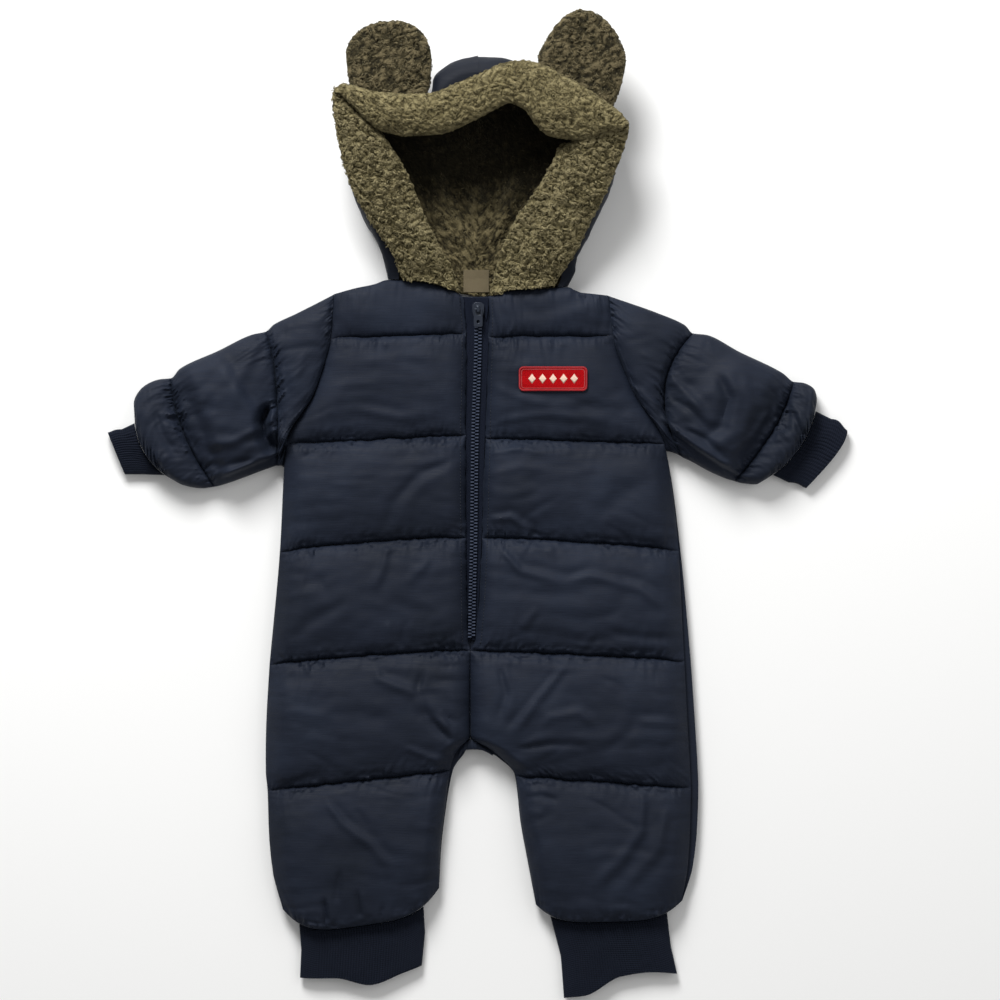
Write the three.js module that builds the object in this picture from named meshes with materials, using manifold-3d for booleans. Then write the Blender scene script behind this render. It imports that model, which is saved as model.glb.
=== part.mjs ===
// Baby snowsuit laid flat on its back. Millimetres, Z up, hood towards +Y, wearer's right at -X.
import * as THREE from 'three';
import { mergeVertices } from 'three/addons/utils/BufferGeometryUtils.js';
import Module from 'manifold-3d';

const wasm = await Module();
wasm.setup();

// Driving sizes
const seamGap = 0.3;
const panelGap = 0.55;
const sleeveGap = 0.8;
const cuffGap = 0.8;
const backPadding = 9;
const seamThickness = 3;
const seamLevel = 7.2;
const edgeLift = 5;
const sideRound = 24;
const zipRound = 18;
const zipEnd = 3.9;
const stitchDip = 2.2;
const cuffThickness = 8.6;
const ribHeight = 0.9;
const ankleRibs = 36;
const wristRibs = 16;
const bandThickness = 5.5;
const bandDrop = 5;
const brimRoll = 9;
const earThickness = 15;
const earLevel = 47;
const patchThickness = 1.4;
const chainHalf = 2.5;

// Colours, read from the photo
const navy = '#252a36';
const navyHood = '#303339';
const navyRib = '#151a24';
const pileBrown = '#746c4d';
const pileDark = '#4a422f';
const zipGrey = '#242932';
const patchRed = '#c5272b';
const labelCream = '#756b59';

// The neckline, across the suit from the wearer's right shoulder to the left one
const neckRows = [
  { x: -115, y: 164 },
  { x: -95.5, y: 169.5 },
  { x: -81, y: 172.5 },
  { x: -70, y: 176 },
  { x: -42.5, y: 174.3 },
  { x: -18.3, y: 167.3 },
  { x: -9.8, y: 162.8 },
  { x: 12.9, y: 163.4 },
  { x: 23, y: 167.3 },
  { x: 58.9, y: 169.6 },
  { x: 70.6, y: 170.4 },
  { x: 78.4, y: 166.5 },
  { x: 91.6, y: 165 },
  { x: 105, y: 163.4 },
];

// Front panels. Whole stations are the neck, the five stitched lines and the ankle hem.
// reach is how far the back panel shows past the front's side seam.
const rightRows = [
  { station: 0, inX: -11.5, inY: 159.5, outX: -112, outY: 162.5, bow: 0, reach: 0 },
  { station: 1, inX: -9, inY: 134, outX: -114.5, outY: 130.5, bow: 0, reach: 0 },
  { station: 1.5, inX: -9, inY: 95, outX: -127, outY: 88.5, bow: 0, reach: 0 },
  { station: 2, inX: -9.5, inY: 55, outX: -149.5, outY: 48, bow: 0, reach: 0 },
  { station: 3, inX: -9, inY: -25.5, outX: -154, outY: -37, bow: 3, reach: 0.5 },
  { station: 3.9, inX: -7.7, inY: -105, outX: -161.2, outY: -115.8, bow: 2, reach: 0.5 },
  { station: 4, inX: -5.85, inY: -113.5, outX: -162, outY: -124.5, bow: 2, reach: 0.5 },
  { station: 4.7, inX: -5.85, inY: -179, outX: -165, outY: -191.5, bow: 0, reach: 0.5 },
  { station: 4.85, inX: -17, inY: -192.5, outX: -165, outY: -207, bow: 0, reach: 0.5 },
  { station: 5, inX: -21.5, inY: -207, outX: -163.5, outY: -222.5, bow: 0, reach: 0.5 },
  { station: 5.35, inX: -25.5, inY: -239, outX: -162.5, outY: -255.5, bow: -1, reach: 0.5 },
  { station: 5.7, inX: -29, inY: -268.5, outX: -159.5, outY: -286, bow: -7, reach: 0.5 },
  { station: 6, inX: -30, inY: -298.5, outX: -151.5, outY: -315.5, bow: -21, reach: 0.5 },
];
const leftRows = [
  { station: 0, inX: 9, inY: 160.5, outX: 102, outY: 162.5, bow: 0, reach: 0 },
  { station: 1, inX: 9, inY: 131.5, outX: 105.5, outY: 132, bow: 0, reach: 0 },
  { station: 1.5, inX: 7.5, inY: 92.5, outX: 122, outY: 88, bow: 0, reach: 0 },
  { station: 2, inX: 6, inY: 52.5, outX: 146, outY: 48, bow: 0, reach: 0 },
  { station: 3, inX: 3.5, inY: -25.5, outX: 157, outY: -35.5, bow: 2, reach: 1.5 },
  { station: 3.9, inX: -1.5, inY: -105, outX: 161, outY: -113, bow: 1, reach: 4.8 },
  { station: 4, inX: -5.55, inY: -113.5, outX: 161.5, outY: -121.5, bow: 1, reach: 5 },
  { station: 4.68, inX: -5.55, inY: -179, outX: 165, outY: -187, bow: 0, reach: 6 },
  { station: 4.85, inX: 13.5, inY: -192.5, outX: 166, outY: -205, bow: 0, reach: 6 },
  { station: 5, inX: 30, inY: -211, outX: 166.5, outY: -220.5, bow: 0, reach: 6 },
  { station: 5.35, inX: 34, inY: -247, outX: 166, outY: -253, bow: -1, reach: 5.5 },
  { station: 5.7, inX: 40, inY: -279.5, outX: 164, outY: -283, bow: -6, reach: 4 },
  { station: 6, inX: 45.5, inY: -311.5, outX: 159.5, outY: -308.5, bow: -15, reach: 0.5 },
];

// Inner edges of the back panels: the centre back seam, then the legs
const backInner = {
  right: [
    { station: 0, inX: 0.3, inY: 159.5 },
    { station: 2, inX: -1.8, inY: 55 },
    { station: 3, inX: -3, inY: -25.5 },
    { station: 4, inX: -5.85, inY: -113.5 },
    { station: 4.7, inX: -5.85, inY: -182 },
    { station: 4.85, inX: -9.5, inY: -192 },
    { station: 5, inX: -19, inY: -206 },
    { station: 5.35, inX: -25, inY: -239 },
    { station: 5.7, inX: -28.5, inY: -268.5 },
    { station: 6, inX: -30, inY: -298.5 },
  ],
  left: [
    { station: 0, inX: 0.6, inY: 160 },
    { station: 2, inX: -1.5, inY: 52.5 },
    { station: 3, inX: -2.7, inY: -25.5 },
    { station: 4, inX: -5.55, inY: -113.5 },
    { station: 4.68, inX: -5.55, inY: -182 },
    { station: 4.85, inX: 11, inY: -193 },
    { station: 5, inX: 29, inY: -210 },
    { station: 5.35, inX: 33.5, inY: -247 },
    { station: 5.7, inX: 39.5, inY: -279.5 },
    { station: 6, inX: 45.5, inY: -311.5 },
  ],
};

// Padding height of each quilted chamber of the front, neck to ankle
const chamberPadding = [6, 10, 12, 12, 13, 11];

// The largest folds of the front: raised above 0, sunk below it
const foldRows = [
  { fromX: -12, fromY: 35, toX: -66, toY: 4, raise: -2.4, width: 9 },
  { fromX: -78, fromY: -38, toX: -84, toY: -70, raise: 2.6, width: 9 },
  { fromX: -95, fromY: -74, toX: -138, toY: -97, raise: -2.2, width: 9 },
  { fromX: -64, fromY: -120, toX: -45, toY: -176, raise: -2.6, width: 8 },
  { fromX: -48, fromY: -144, toX: -37, toY: -168, raise: 2.2, width: 8 },
  { fromX: -138, fromY: -168, toX: -78, toY: -164, raise: -2, width: 11 },
  { fromX: -118, fromY: -230, toX: -78, toY: -280, raise: 2.6, width: 9 },
  { fromX: 26, fromY: -38, toX: 76, toY: -56, raise: 2.6, width: 9 },
  { fromX: 76, fromY: -56, toX: 134, toY: -74, raise: 2.2, width: 9 },
  { fromX: 34, fromY: -182, toX: 64, toY: -126, raise: -2.6, width: 9 },
  { fromX: 54, fromY: -152, toX: 112, toY: -184, raise: 2.2, width: 9 },
  { fromX: 124, fromY: -230, toX: 96, toY: -284, raise: 2.8, width: 10 },
  { fromX: 12, fromY: 88, toX: 92, toY: 70, raise: -1.8, width: 9 },
];

// Sleeves: whole stations are the armhole, two stitched lines and the sleeve end
const sleeveRows = {
  right: [
    { station: 0, topX: -112, topY: 162.5, midX: -123, midY: 96, lowX: -150, lowY: 33 },
    { station: 0.5, topX: -142, topY: 149, midX: -141, midY: 94, lowX: -153, lowY: 32 },
    { station: 0.86, topX: -159, topY: 141.4, midX: -152, midY: 92.7, lowX: -155.6, lowY: 31 },
    { station: 1, topX: -165.4, topY: 135.8, midX: -157, midY: 92, lowX: -157, lowY: 31 },
    { station: 1.14, topX: -175.5, topY: 133.6, midX: -168, midY: 87.5, lowX: -166, lowY: 28 },
    { station: 1.5, topX: -203, topY: 120.6, midX: -195, midY: 75, lowX: -183, lowY: 21.6 },
    { station: 1.87, topX: -232.5, topY: 106.8, midX: -221.5, midY: 62, lowX: -197.5, lowY: 16.6 },
    { station: 2, topX: -239.4, topY: 99.4, midX: -230, midY: 58, lowX: -205.5, lowY: 14.6 },
    { station: 2.16, topX: -248, topY: 98.6, midX: -237, midY: 55.6, lowX: -215, lowY: 13.4 },
    { station: 2.5, topX: -262, topY: 92, midX: -249, midY: 51.6, lowX: -229, lowY: 15.6 },
    { station: 2.75, topX: -268.4, topY: 80, midX: -256, midY: 47.4, lowX: -237, lowY: 19.4 },
    { station: 3, topX: -267.6, topY: 66, midX: -260, midY: 41, lowX: -242.5, lowY: 22.8 },
  ],
  left: [
    { station: 0, topX: 102, topY: 162.5, midX: 116, midY: 100, lowX: 146, lowY: 46 },
    { station: 0.5, topX: 140, topY: 150.2, midX: 132, midY: 95, lowX: 153, lowY: 42 },
    { station: 0.86, topX: 162, topY: 140.8, midX: 142, midY: 91.4, lowX: 158, lowY: 39 },
    { station: 1, topX: 168.4, topY: 134.4, midX: 146, midY: 90, lowX: 160, lowY: 37.6 },
    { station: 1.14, topX: 178, topY: 133.4, midX: 157, midY: 87, lowX: 166.5, lowY: 34.6 },
    { station: 1.5, topX: 205, topY: 119.8, midX: 187, midY: 75, lowX: 181, lowY: 26.6 },
    { station: 1.87, topX: 238, topY: 103.6, midX: 220, midY: 62, lowX: 194, lowY: 21 },
    { station: 2, topX: 247, topY: 96.6, midX: 230, midY: 58, lowX: 200.5, lowY: 19 },
    { station: 2.16, topX: 254, topY: 95.9, midX: 236, midY: 55.6, lowX: 207.5, lowY: 17.2 },
    { station: 2.5, topX: 263.4, topY: 90.2, midX: 244, midY: 52.4, lowX: 217, lowY: 16.4 },
    { station: 2.75, topX: 265, topY: 83, midX: 249, midY: 49, lowX: 223.4, lowY: 19.4 },
    { station: 3, topX: 264, topY: 75.6, midX: 252, midY: 46, lowX: 228.4, lowY: 22.6 },
  ],
};
// Stations of the body's edge where the sleeve's ring has its points, and the last one on each side
const armholeStations = [0, 0.12, 0.4, 0.7, 1, 1.22, 1.42, 1.6, 1.78, 1.93, 2, 2.07, 2.22];
const underarm = { right: 2.22, left: 2.07 };
const sleevePadding = [11, 14, 12];
const sleeveFolds = [
  { fromX: 187, fromY: 102, toX: 174, toY: 52, raise: -3.2, width: 8 },
  { fromX: -150, fromY: 74, toX: -160, toY: 48, raise: -2.6, width: 8 },
];

// Cuffs: the far end and the middle of each rib tube, laid flat
const wristRows = {
  right: [
    { station: 1, topX: -278, topY: 59.6, lowX: -262, lowY: 24.3, bow: 0 },
    { station: 2, topX: -289, topY: 57, lowX: -275.6, lowY: 24.3, bow: 0 },
  ],
  left: [
    { station: 1, topX: 276.6, topY: 67.6, lowX: 243, lowY: 18, bow: 0 },
    { station: 2, topX: 288.62, topY: 59, lowX: 256.8, lowY: 13.5, bow: 5 },
  ],
};
const ankleRows = {
  right: [
    { station: 1, outX: -137.8, outY: -347.5, inX: -41, inY: -334, bow: -3 },
    { station: 2, outX: -138.8, outY: -369, inX: -43.5, inY: -359.5, bow: -7 },
  ],
  left: [
    { station: 1, outX: 151, outY: -344, inX: 65, inY: -352, bow: 0 },
    { station: 2, outX: 156, outY: -366, inX: 67.5, inY: -385, bow: 6 },
  ],
};
// How the hems of the ankle cuffs wander, from the outer edge to the inner one
const hemRows = {
  right: [
    { share: 0, rise: 0 },
    { share: 0.3, rise: 2.6 },
    { share: 0.6, rise: -4.4 },
    { share: 0.85, rise: -0.6 },
    { share: 1, rise: 0 },
  ],
  left: [
    { share: 0, rise: 0 },
    { share: 0.3, rise: 1.6 },
    { share: 0.5, rise: 1.4 },
    { share: 0.78, rise: -5.4 },
    { share: 1, rise: 0 },
  ],
};

// Hood outline from the neck to the crown, for each half
const hoodRows = {
  right: [
    { x: -70, y: 176.6 },
    { x: -72.5, y: 187.5 },
    { x: -77, y: 203 },
    { x: -87, y: 220.5 },
    { x: -94, y: 236.5 },
    { x: -101, y: 255.5 },
    { x: -105, y: 277.5 },
    { x: -105.5, y: 297 },
    { x: -101, y: 311 },
    { x: -84, y: 314.5 },
    { x: -60.5, y: 315.5 },
    { x: -36.5, y: 319.5 },
    { x: -33, y: 333 },
    { x: -15, y: 345.5 },
    { x: 0.35, y: 348.5 },
  ],
  left: [
    { x: 70.5, y: 171 },
    { x: 75.5, y: 181.5 },
    { x: 77, y: 193 },
    { x: 88, y: 212 },
    { x: 98, y: 233 },
    { x: 105.5, y: 254 },
    { x: 110.5, y: 273.5 },
    { x: 112, y: 291.5 },
    { x: 105, y: 304 },
    { x: 88, y: 313 },
    { x: 64.5, y: 326.5 },
    { x: 49, y: 335 },
    { x: 34.5, y: 342 },
    { x: 16, y: 347.6 },
    { x: 0.65, y: 348.5 },
  ],
};
const hoodCentreFrom = 163;
const hoodCentreTo = 298;
const fullRim = 24;
const crownFrom = 321;
const crownReach = 0.5;
const rimRows = [
  { y: 160, height: 13 },
  { y: 176, height: 15 },
  { y: 192, height: 23 },
  { y: 216, height: 33 },
  { y: 245, height: 44 },
  { y: 280, height: 54 },
  { y: 310, height: 60 },
  { y: 335, height: 60 },
  { y: 352, height: 57 },
];
// Sections of hood shell and lining, from the centre back to the rim. along is the share of the way
// to the edge on the floor, inset the way in from the outline, share and add give the height.
const shellOuter = [
  { along: 0, inset: 0, share: 0, add: 0 },
  { along: 0.5, inset: 0, share: 0, add: 0 },
  { along: 1, inset: 12, share: 0, add: 0 },
  { along: 1, inset: 4, share: 0, add: 2.5 },
  { along: 1, inset: 0, share: 0.22, add: 1 },
  { along: 1, inset: 0, share: 0.7, add: 0 },
  { along: 1, inset: 3, share: 0.9, add: 0 },
  { along: 1, inset: 9, share: 1, add: -1 },
  { along: 1, inset: 14, share: 1, add: -1 },
];
const shellInner = [
  { along: 0, inset: 0, share: 0, add: 4.5 },
  { along: 0.5, inset: 0, share: 0, add: 4.5 },
  { along: 1, inset: 12.5, share: 0, add: 4.5 },
  { along: 1, inset: 8, share: 0, add: 6 },
  { along: 1, inset: 5, share: 0.22, add: 3.5 },
  { along: 1, inset: 5, share: 0.7, add: -1 },
  { along: 1, inset: 7, share: 0.9, add: -3.2 },
  { along: 1, inset: 10, share: 1, add: -5 },
  { along: 1, inset: 14, share: 1, add: -4.8 },
];
const liningOuter = [
  { along: 0, inset: 0, share: 0, add: 4.9 },
  { along: 0.5, inset: 0, share: 0, add: 4.9 },
  { along: 1, inset: 12.9, share: 0, add: 4.9 },
  { along: 1, inset: 8.5, share: 0, add: 6.5 },
  { along: 1, inset: 5.5, share: 0.22, add: 3.9 },
  { along: 1, inset: 5.5, share: 0.7, add: -1.3 },
  { along: 1, inset: 7.4, share: 0.9, add: -3.7 },
  { along: 1, inset: 10.3, share: 1, add: -5.5 },
  { along: 1, inset: 14, share: 1, add: -5.3 },
];
const liningInner = [
  { along: 0, inset: 0, share: 0, add: 7.9 },
  { along: 0.5, inset: 0, share: 0, add: 7.9 },
  { along: 1, inset: 14, share: 0, add: 7.9 },
  { along: 1, inset: 11, share: 0, add: 9.2 },
  { along: 1, inset: 8.5, share: 0.22, add: 6 },
  { along: 1, inset: 8.5, share: 0.7, add: -3 },
  { along: 1, inset: 10, share: 0.9, add: -6.2 },
  { along: 1, inset: 12, share: 1, add: -8.5 },
  { along: 1, inset: 14.5, share: 1, add: -8.3 },
];

// Hood side bands from the neck up: outer edge on the rim, inner edge over the hollow
const bandRows = {
  right: [
    { outX: -59, outY: 176.8, inX: -12.8, inY: 166.6 },
    { outX: -65.3, outY: 194.6, inX: -20.6, inY: 186.3 },
    { outX: -77, outY: 211.8, inX: -32, inY: 206 },
    { outX: -89.6, outY: 231, inX: -41.5, inY: 226 },
    { outX: -100, outY: 253, inX: -52, inY: 252.5 },
    { outX: -106.2, outY: 275.5, inX: -66, inY: 275.5 },
    { outX: -110, outY: 298, inX: -84.5, inY: 292.5 },
    { outX: -111.6, outY: 310, inX: -98.5, inY: 306 },
    { outX: -111.6, outY: 317.6, inX: -107.4, inY: 316.6 },
  ],
  left: [
    { outX: 60, outY: 171.5, inX: 9.6, inY: 165 },
    { outX: 66.5, outY: 182, inX: 14.4, inY: 184 },
    { outX: 76, outY: 195.5, inX: 21.5, inY: 206 },
    { outX: 87, outY: 218.5, inX: 31.5, inY: 225.5 },
    { outX: 97, outY: 237, inX: 42.5, inY: 240 },
    { outX: 105, outY: 254.5, inX: 52.5, inY: 256 },
    { outX: 110.5, outY: 268, inX: 60.5, inY: 268.5 },
    { outX: 114, outY: 278.5, inX: 72, inY: 278.5 },
    { outX: 116, outY: 286, inX: 90, inY: 284.8 },
    { outX: 116.6, outY: 289.8, inX: 104, inY: 289.6 },
  ],
};

// Brim across the forehead, from the wearer's right to the left
const brimRows = [
  { outX: -110.6, outY: 320, inX: -106.4, inY: 318.4 },
  { outX: -104, outY: 326, inX: -98.5, inY: 312.5 },
  { outX: -93, outY: 323.4, inX: -87, inY: 301 },
  { outX: -77, outY: 319.4, inX: -73, inY: 289.5 },
  { outX: -55, outY: 317.9, inX: -54, inY: 285.8 },
  { outX: -36, outY: 318.8, inX: -30, inY: 287 },
  { outX: -17, outY: 325.8, inX: -8, inY: 295 },
  { outX: 3, outY: 334.2, inX: 10, inY: 304 },
  { outX: 21, outY: 341.8, inX: 25, inY: 311 },
  { outX: 36, outY: 344, inX: 35.5, inY: 307 },
  { outX: 51, outY: 340.4, inX: 45, inY: 294.5 },
  { outX: 66, outY: 332.6, inX: 55, inY: 286.3 },
  { outX: 84, outY: 322.6, inX: 70, inY: 283.4 },
  { outX: 99, outY: 312, inX: 86, inY: 285.4 },
  { outX: 110, outY: 304, inX: 101, inY: 290.8 },
  { outX: 116.4, outY: 295.5, inX: 112.5, inY: 291.6 },
];

// Ears from the base on the hood to the tip
const earRows = {
  right: [
    { fromX: -96, fromY: 313.3, toX: -38.5, toY: 319.6 },
    { fromX: -100.2, fromY: 333.5, toX: -36.5, toY: 329 },
    { fromX: -101.8, fromY: 349.8, toX: -35.5, toY: 346 },
    { fromX: -97.9, fromY: 360.8, toX: -39.4, toY: 361.5 },
    { fromX: -88.5, fromY: 370, toX: -48, toY: 371 },
    { fromX: -76, fromY: 374.8, toX: -58, toY: 375.4 },
  ],
  left: [
    { fromX: 50, fromY: 335, toX: 103.5, toY: 305.3 },
    { fromX: 47.2, fromY: 347.5, toX: 111.9, toY: 327.2 },
    { fromX: 53.4, fromY: 360.8, toX: 115, toY: 345.2 },
    { fromX: 62, fromY: 373.2, toX: 109.6, toY: 361.5 },
    { fromX: 70.6, fromY: 381, toX: 99.5, toY: 375.6 },
    { fromX: 79, fromY: 384.5, toX: 89.3, toY: 382.8 },
  ],
};

// Middle line of the zip chain, from its bottom end up
const chainRows = [
  { y: -109, x: -4.7 },
  { y: -77.5, x: -4.2 },
  { y: -27, x: -3 },
  { y: 52.5, x: -2 },
  { y: 137, x: 0.5 },
  { y: 165, x: 0.5 },
];

// Crotch gusset, across the gap between the legs
const gussetRows = [
  { x: -15, topY: -193, lowY: -197 },
  { x: -12, topY: -188.8, lowY: -192.5 },
  { x: -8.5, topY: -184.6, lowY: -190.8 },
  { x: -5.5, topY: -182.4, lowY: -190.5 },
  { x: -2.5, topY: -183.6, lowY: -190.5 },
  { x: 0.5, topY: -185.6, lowY: -190.6 },
  { x: 4, topY: -188, lowY: -191.2 },
  { x: 8, topY: -190.6, lowY: -193 },
  { x: 12, topY: -193.4, lowY: -195.4 },
];

const clamp = (value) => Math.min(1, Math.max(0, value));
const smooth = (value) => clamp(value) ** 2 * (3 - 2 * clamp(value));
const lerp = (a, b, t) => a + (b - a) * t;

// Reads one column of a table between its rows, with no overshoot.
function read(rows, key, value, column) {
  const last = rows.length - 1;
  if (value <= rows[0][key]) return rows[0][column];
  if (value >= rows[last][key]) return rows[last][column];
  const at = rows.findIndex((row) => row[key] > value) - 1;
  const step = (i) => rows[i + 1][key] - rows[i][key];
  const rise = (i) => (rows[i + 1][column] - rows[i][column]) / step(i);
  const slope = (i) => {
    if (i === 0) return rise(0);
    if (i === last) return rise(last - 1);
    const before = rise(i - 1);
    const after = rise(i);
    return before * after <= 0 ? 0 : (2 * before * after) / (before + after);
  };
  const h = step(at);
  const t = (value - rows[at][key]) / h;
  const a = rows[at][column];
  const b = rows[at + 1][column];
  const bend = h * (slope(at) * t * (1 - t) ** 2 - slope(at + 1) * t * t * (1 - t));
  return a + (b - a) * t * t * (3 - 2 * t) + bend;
}

const neckY = (x) => read(neckRows, 'x', x, 'y');

// Makes one closed body from an outer and an inner grid of points.
function wall(name, outer, inner, round, colour, roughness) {
  const rows = outer.length;
  const columns = outer[0].length;
  const spans = round ? columns : columns - 1;
  const points = [...outer.flat(), ...inner.flat()];
  const inside = rows * columns;
  const triangles = [];
  const quad = (a, b, c, d) => triangles.push([a, b, c], [a, c, d]);
  const at = (row, column) => row * columns + (column % columns);
  for (let row = 0; row < rows - 1; row += 1) {
    for (let column = 0; column < spans; column += 1) {
      const a = at(row, column);
      const b = at(row, column + 1);
      const c = at(row + 1, column + 1);
      const d = at(row + 1, column);
      quad(a, b, c, d);
      triangles.push([inside + a, inside + c, inside + b], [inside + a, inside + d, inside + c]);
    }
    if (!round) {
      quad(at(row, 0), at(row + 1, 0), inside + at(row + 1, 0), inside + at(row, 0));
      const edge = columns - 1;
      quad(at(row, edge), inside + at(row, edge), inside + at(row + 1, edge), at(row + 1, edge));
    }
  }
  for (let column = 0; column < spans; column += 1) {
    const a = at(0, column);
    const b = at(0, column + 1);
    quad(a, inside + a, inside + b, b);
    const c = at(rows - 1, column);
    const d = at(rows - 1, column + 1);
    quad(c, d, inside + d, inside + c);
  }
  const volume = triangles.reduce((sum, [a, b, c]) => {
    const va = new THREE.Vector3(...points[a]);
    const vb = new THREE.Vector3(...points[b]);
    const vc = new THREE.Vector3(...points[c]);
    return sum + va.dot(vb.cross(vc));
  }, 0);
  const order = volume < 0 ? triangles.map(([a, b, c]) => [a, c, b]) : triangles;
  const geometry = new THREE.BufferGeometry();
  geometry.setAttribute('position', new THREE.Float32BufferAttribute(points.flat(), 3));
  geometry.setIndex(order.flat());
  return piece(name, geometry, colour, roughness);
}

function piece(name, geometry, colour, roughness, metalness = 0) {
  geometry.computeVertexNormals();
  const material = new THREE.MeshStandardMaterial({ color: colour, roughness, metalness });
  const mesh = new THREE.Mesh(geometry, material);
  mesh.name = name;
  return mesh;
}

// Height of folds at a point, from a table of folds
function foldHeight(folds, x, y) {
  return folds.reduce((sum, fold) => {
    const dx = fold.toX - fold.fromX;
    const dy = fold.toY - fold.fromY;
    const along = ((x - fold.fromX) * dx + (y - fold.fromY) * dy) / (dx * dx + dy * dy);
    const t = clamp(along);
    const away = Math.hypot(x - fold.fromX - dx * t, y - fold.fromY - dy * t);
    return sum + fold.raise * Math.exp(-((away / fold.width) ** 2));
  }, 0);
}

// Plan position on a body panel at a station and at the share v from its inner to its outer edge
function panelPlan(rows, station, v) {
  const at = (value, share) => {
    const col = (column) => read(rows, 'station', value, column);
    const bow = col('bow') * (1 - (2 * share - 1) ** 4);
    const x = lerp(col('inX'), col('outX'), share);
    return { x, y: lerp(col('inY'), col('outY'), share) + bow };
  };
  const point = at(station, v);
  if (station < 1) {
    const top = at(0, v);
    point.y += (neckY(top.x) - top.y) * (1 - station) ** 2;
  }
  return point;
}

const sides = {
  right: { sign: -1, rows: rightRows },
  left: { sign: 1, rows: leftRows },
};
const backTable = (side) => sides[side].rows.map((row) => ({
  ...row,
  inX: read(backInner[side], 'station', row.station, 'inX'),
  inY: read(backInner[side], 'station', row.station, 'inY'),
  outX: row.outX + sides[side].sign * row.reach,
}));

const legInside = (station) => smooth((station - 4.75) / 0.2);
const sideSeam = (side, station) => smooth((station - underarm[side] + 0.1) / 0.25);
const padding = (heights, station) => {
  const chamber = Math.min(Math.floor(station + 1e-6), heights.length - 1);
  const share = clamp(station - chamber);
  return heights[chamber] * Math.sin(Math.PI * share) ** 0.55;
};

// How far a panel has sunk at its rounded edges: 1 on the seam, 0 inside
const sunk = (side, station, toOuter, toInner) => Math.max(
  sideSeam(side, station) * (1 - smooth(toOuter / 14)),
  legInside(station) * (1 - smooth(toInner / 14)),
);

const frontStations = [];
[[0, 0.12, 0.4, 0.7, 0.9], [0, 0.07, 0.22, 0.42, 0.6, 0.78, 0.93], [0, 0.07, 0.22, 0.42, 0.6, 0.78, 0.93],
  [0, 0.07, 0.22, 0.42, 0.6, 0.78, 0.9], [0, 0.07, 0.22, 0.45, 0.6, 0.7, 0.77, 0.85, 0.93],
  [0, 0.07, 0.22, 0.42, 0.6, 0.78, 0.93]]
  .forEach((shares, chamber) => shares.forEach((share) => frontStations.push(chamber + share)));
frontStations.push(6);
const frontShares = [0, 0.035, 0.1, 0.22, 0.36, 0.5, 0.64, 0.78, 0.89, 0.965, 1];

function frontPanel(side) {
  const outer = [];
  const inner = [];
  frontStations.forEach((station) => {
    const rowOuter = [];
    const rowInner = [];
    const width = Math.abs(panelPlan(sides[side].rows, station, 1).x
      - panelPlan(sides[side].rows, station, 0).x);
    frontShares.forEach((v) => {
      const { x, y } = panelPlan(sides[side].rows, station, v);
      const toOuter = (1 - v) * width;
      const toInner = v * width;
      const low = sunk(side, station, toOuter, toInner);
      const base = lerp(backPadding, seamLevel, low) + panelGap;
      const edges = Math.sin((Math.PI / 2) * clamp(toOuter / sideRound)) ** 0.7
        * Math.sin((Math.PI / 2) * clamp(toInner / zipRound)) ** 0.7;
      const puff = padding(chamberPadding, station);
      const folds = foldHeight(foldRows, x, y) * Math.min(1, puff / 6);
      const seam = seamThickness - 0.8 * low;
      rowOuter.push([x, y, base + seam + Math.max(0, puff + folds) * edges]);
      rowInner.push([x, y, base]);
    });
    outer.push(rowOuter);
    inner.push(rowInner);
  });
  return wall(`front_${side}`, outer, inner, false, navy, 0.55);
}

const backStations = frontStations.filter((station) => station < 2.3
  || (station > 4.4 && station < 5.1));
[3, 4].forEach((line) => backStations.push(line - 0.05, line, line + 0.05, line + 0.35));
backStations.push(2.6, 3.66, 5.35, 5.6, 5.8, 5.95, 6);
backStations.sort((a, b) => a - b);
const backShares = [0, 0.05, 0.11, 0.3, 0.55, 0.8, 0.9, 0.955, 1];

function backPanel(side) {
  const outer = [];
  const inner = [];
  const table = backTable(side);
  backStations.forEach((station) => {
    const rowOuter = [];
    const rowInner = [];
    const width = Math.abs(panelPlan(table, station, 1).x - panelPlan(table, station, 0).x);
    const reach = read(table, 'station', station, 'reach');
    const shown = Math.abs(panelPlan(table, station, 0).x
      - panelPlan(sides[side].rows, station, 0).x) * legInside(station);
    const onLine = Number.isInteger(station) && station > 0 && station < 6;
    backShares.forEach((v) => {
      const { x, y } = panelPlan(table, station, v);
      const toOuter = (1 - v) * width;
      const toInner = v * width;
      const low = sunk(side, station, Math.max(0, toOuter - reach), Math.max(0, toInner - shown));
      const lift = edgeLift * Math.max(
        sideSeam(side, station) * (1 - smooth(toOuter / 11)),
        legInside(station) * (1 - smooth(toInner / 11)),
      );
      const top = lerp(backPadding, seamLevel, low);
      rowOuter.push([x, y, Math.max(lift, onLine ? stitchDip : 0)]);
      rowInner.push([x, y, top]);
    });
    outer.push(rowOuter);
    inner.push(rowInner);
  });
  return wall(`back_${side}`, outer, inner, false, navy, 0.55);
}

// A tube laid flat: plan gives a point across it, section its heights at that point
function flatTube(name, stations, shares, plan, section, colour, roughness) {
  const outer = [];
  const inner = [];
  stations.forEach((station) => {
    const ringOuter = [];
    const ringInner = [];
    shares.forEach(({ share, face }) => {
      const inside = 0.5 + (share - 0.5) * section.narrow;
      const { x, y } = plan(station, share);
      const within = plan(station, inside);
      const heights = section.heights(station, share, face, x, y);
      ringOuter.push([x, y, heights.outer]);
      ringInner.push([within.x, within.y, heights.inner]);
    });
    outer.push(ringOuter);
    inner.push(ringInner);
  });
  return wall(name, outer, inner, true, colour, roughness);
}

const bulge = (share, power) => (1 - Math.abs(2 * share - 1) ** power) ** (1 / power);
const ringOf = (top, low) => [
  ...top.map((share) => ({ share, face: 1 })),
  ...low.map((share) => ({ share, face: -1 })),
];

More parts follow.
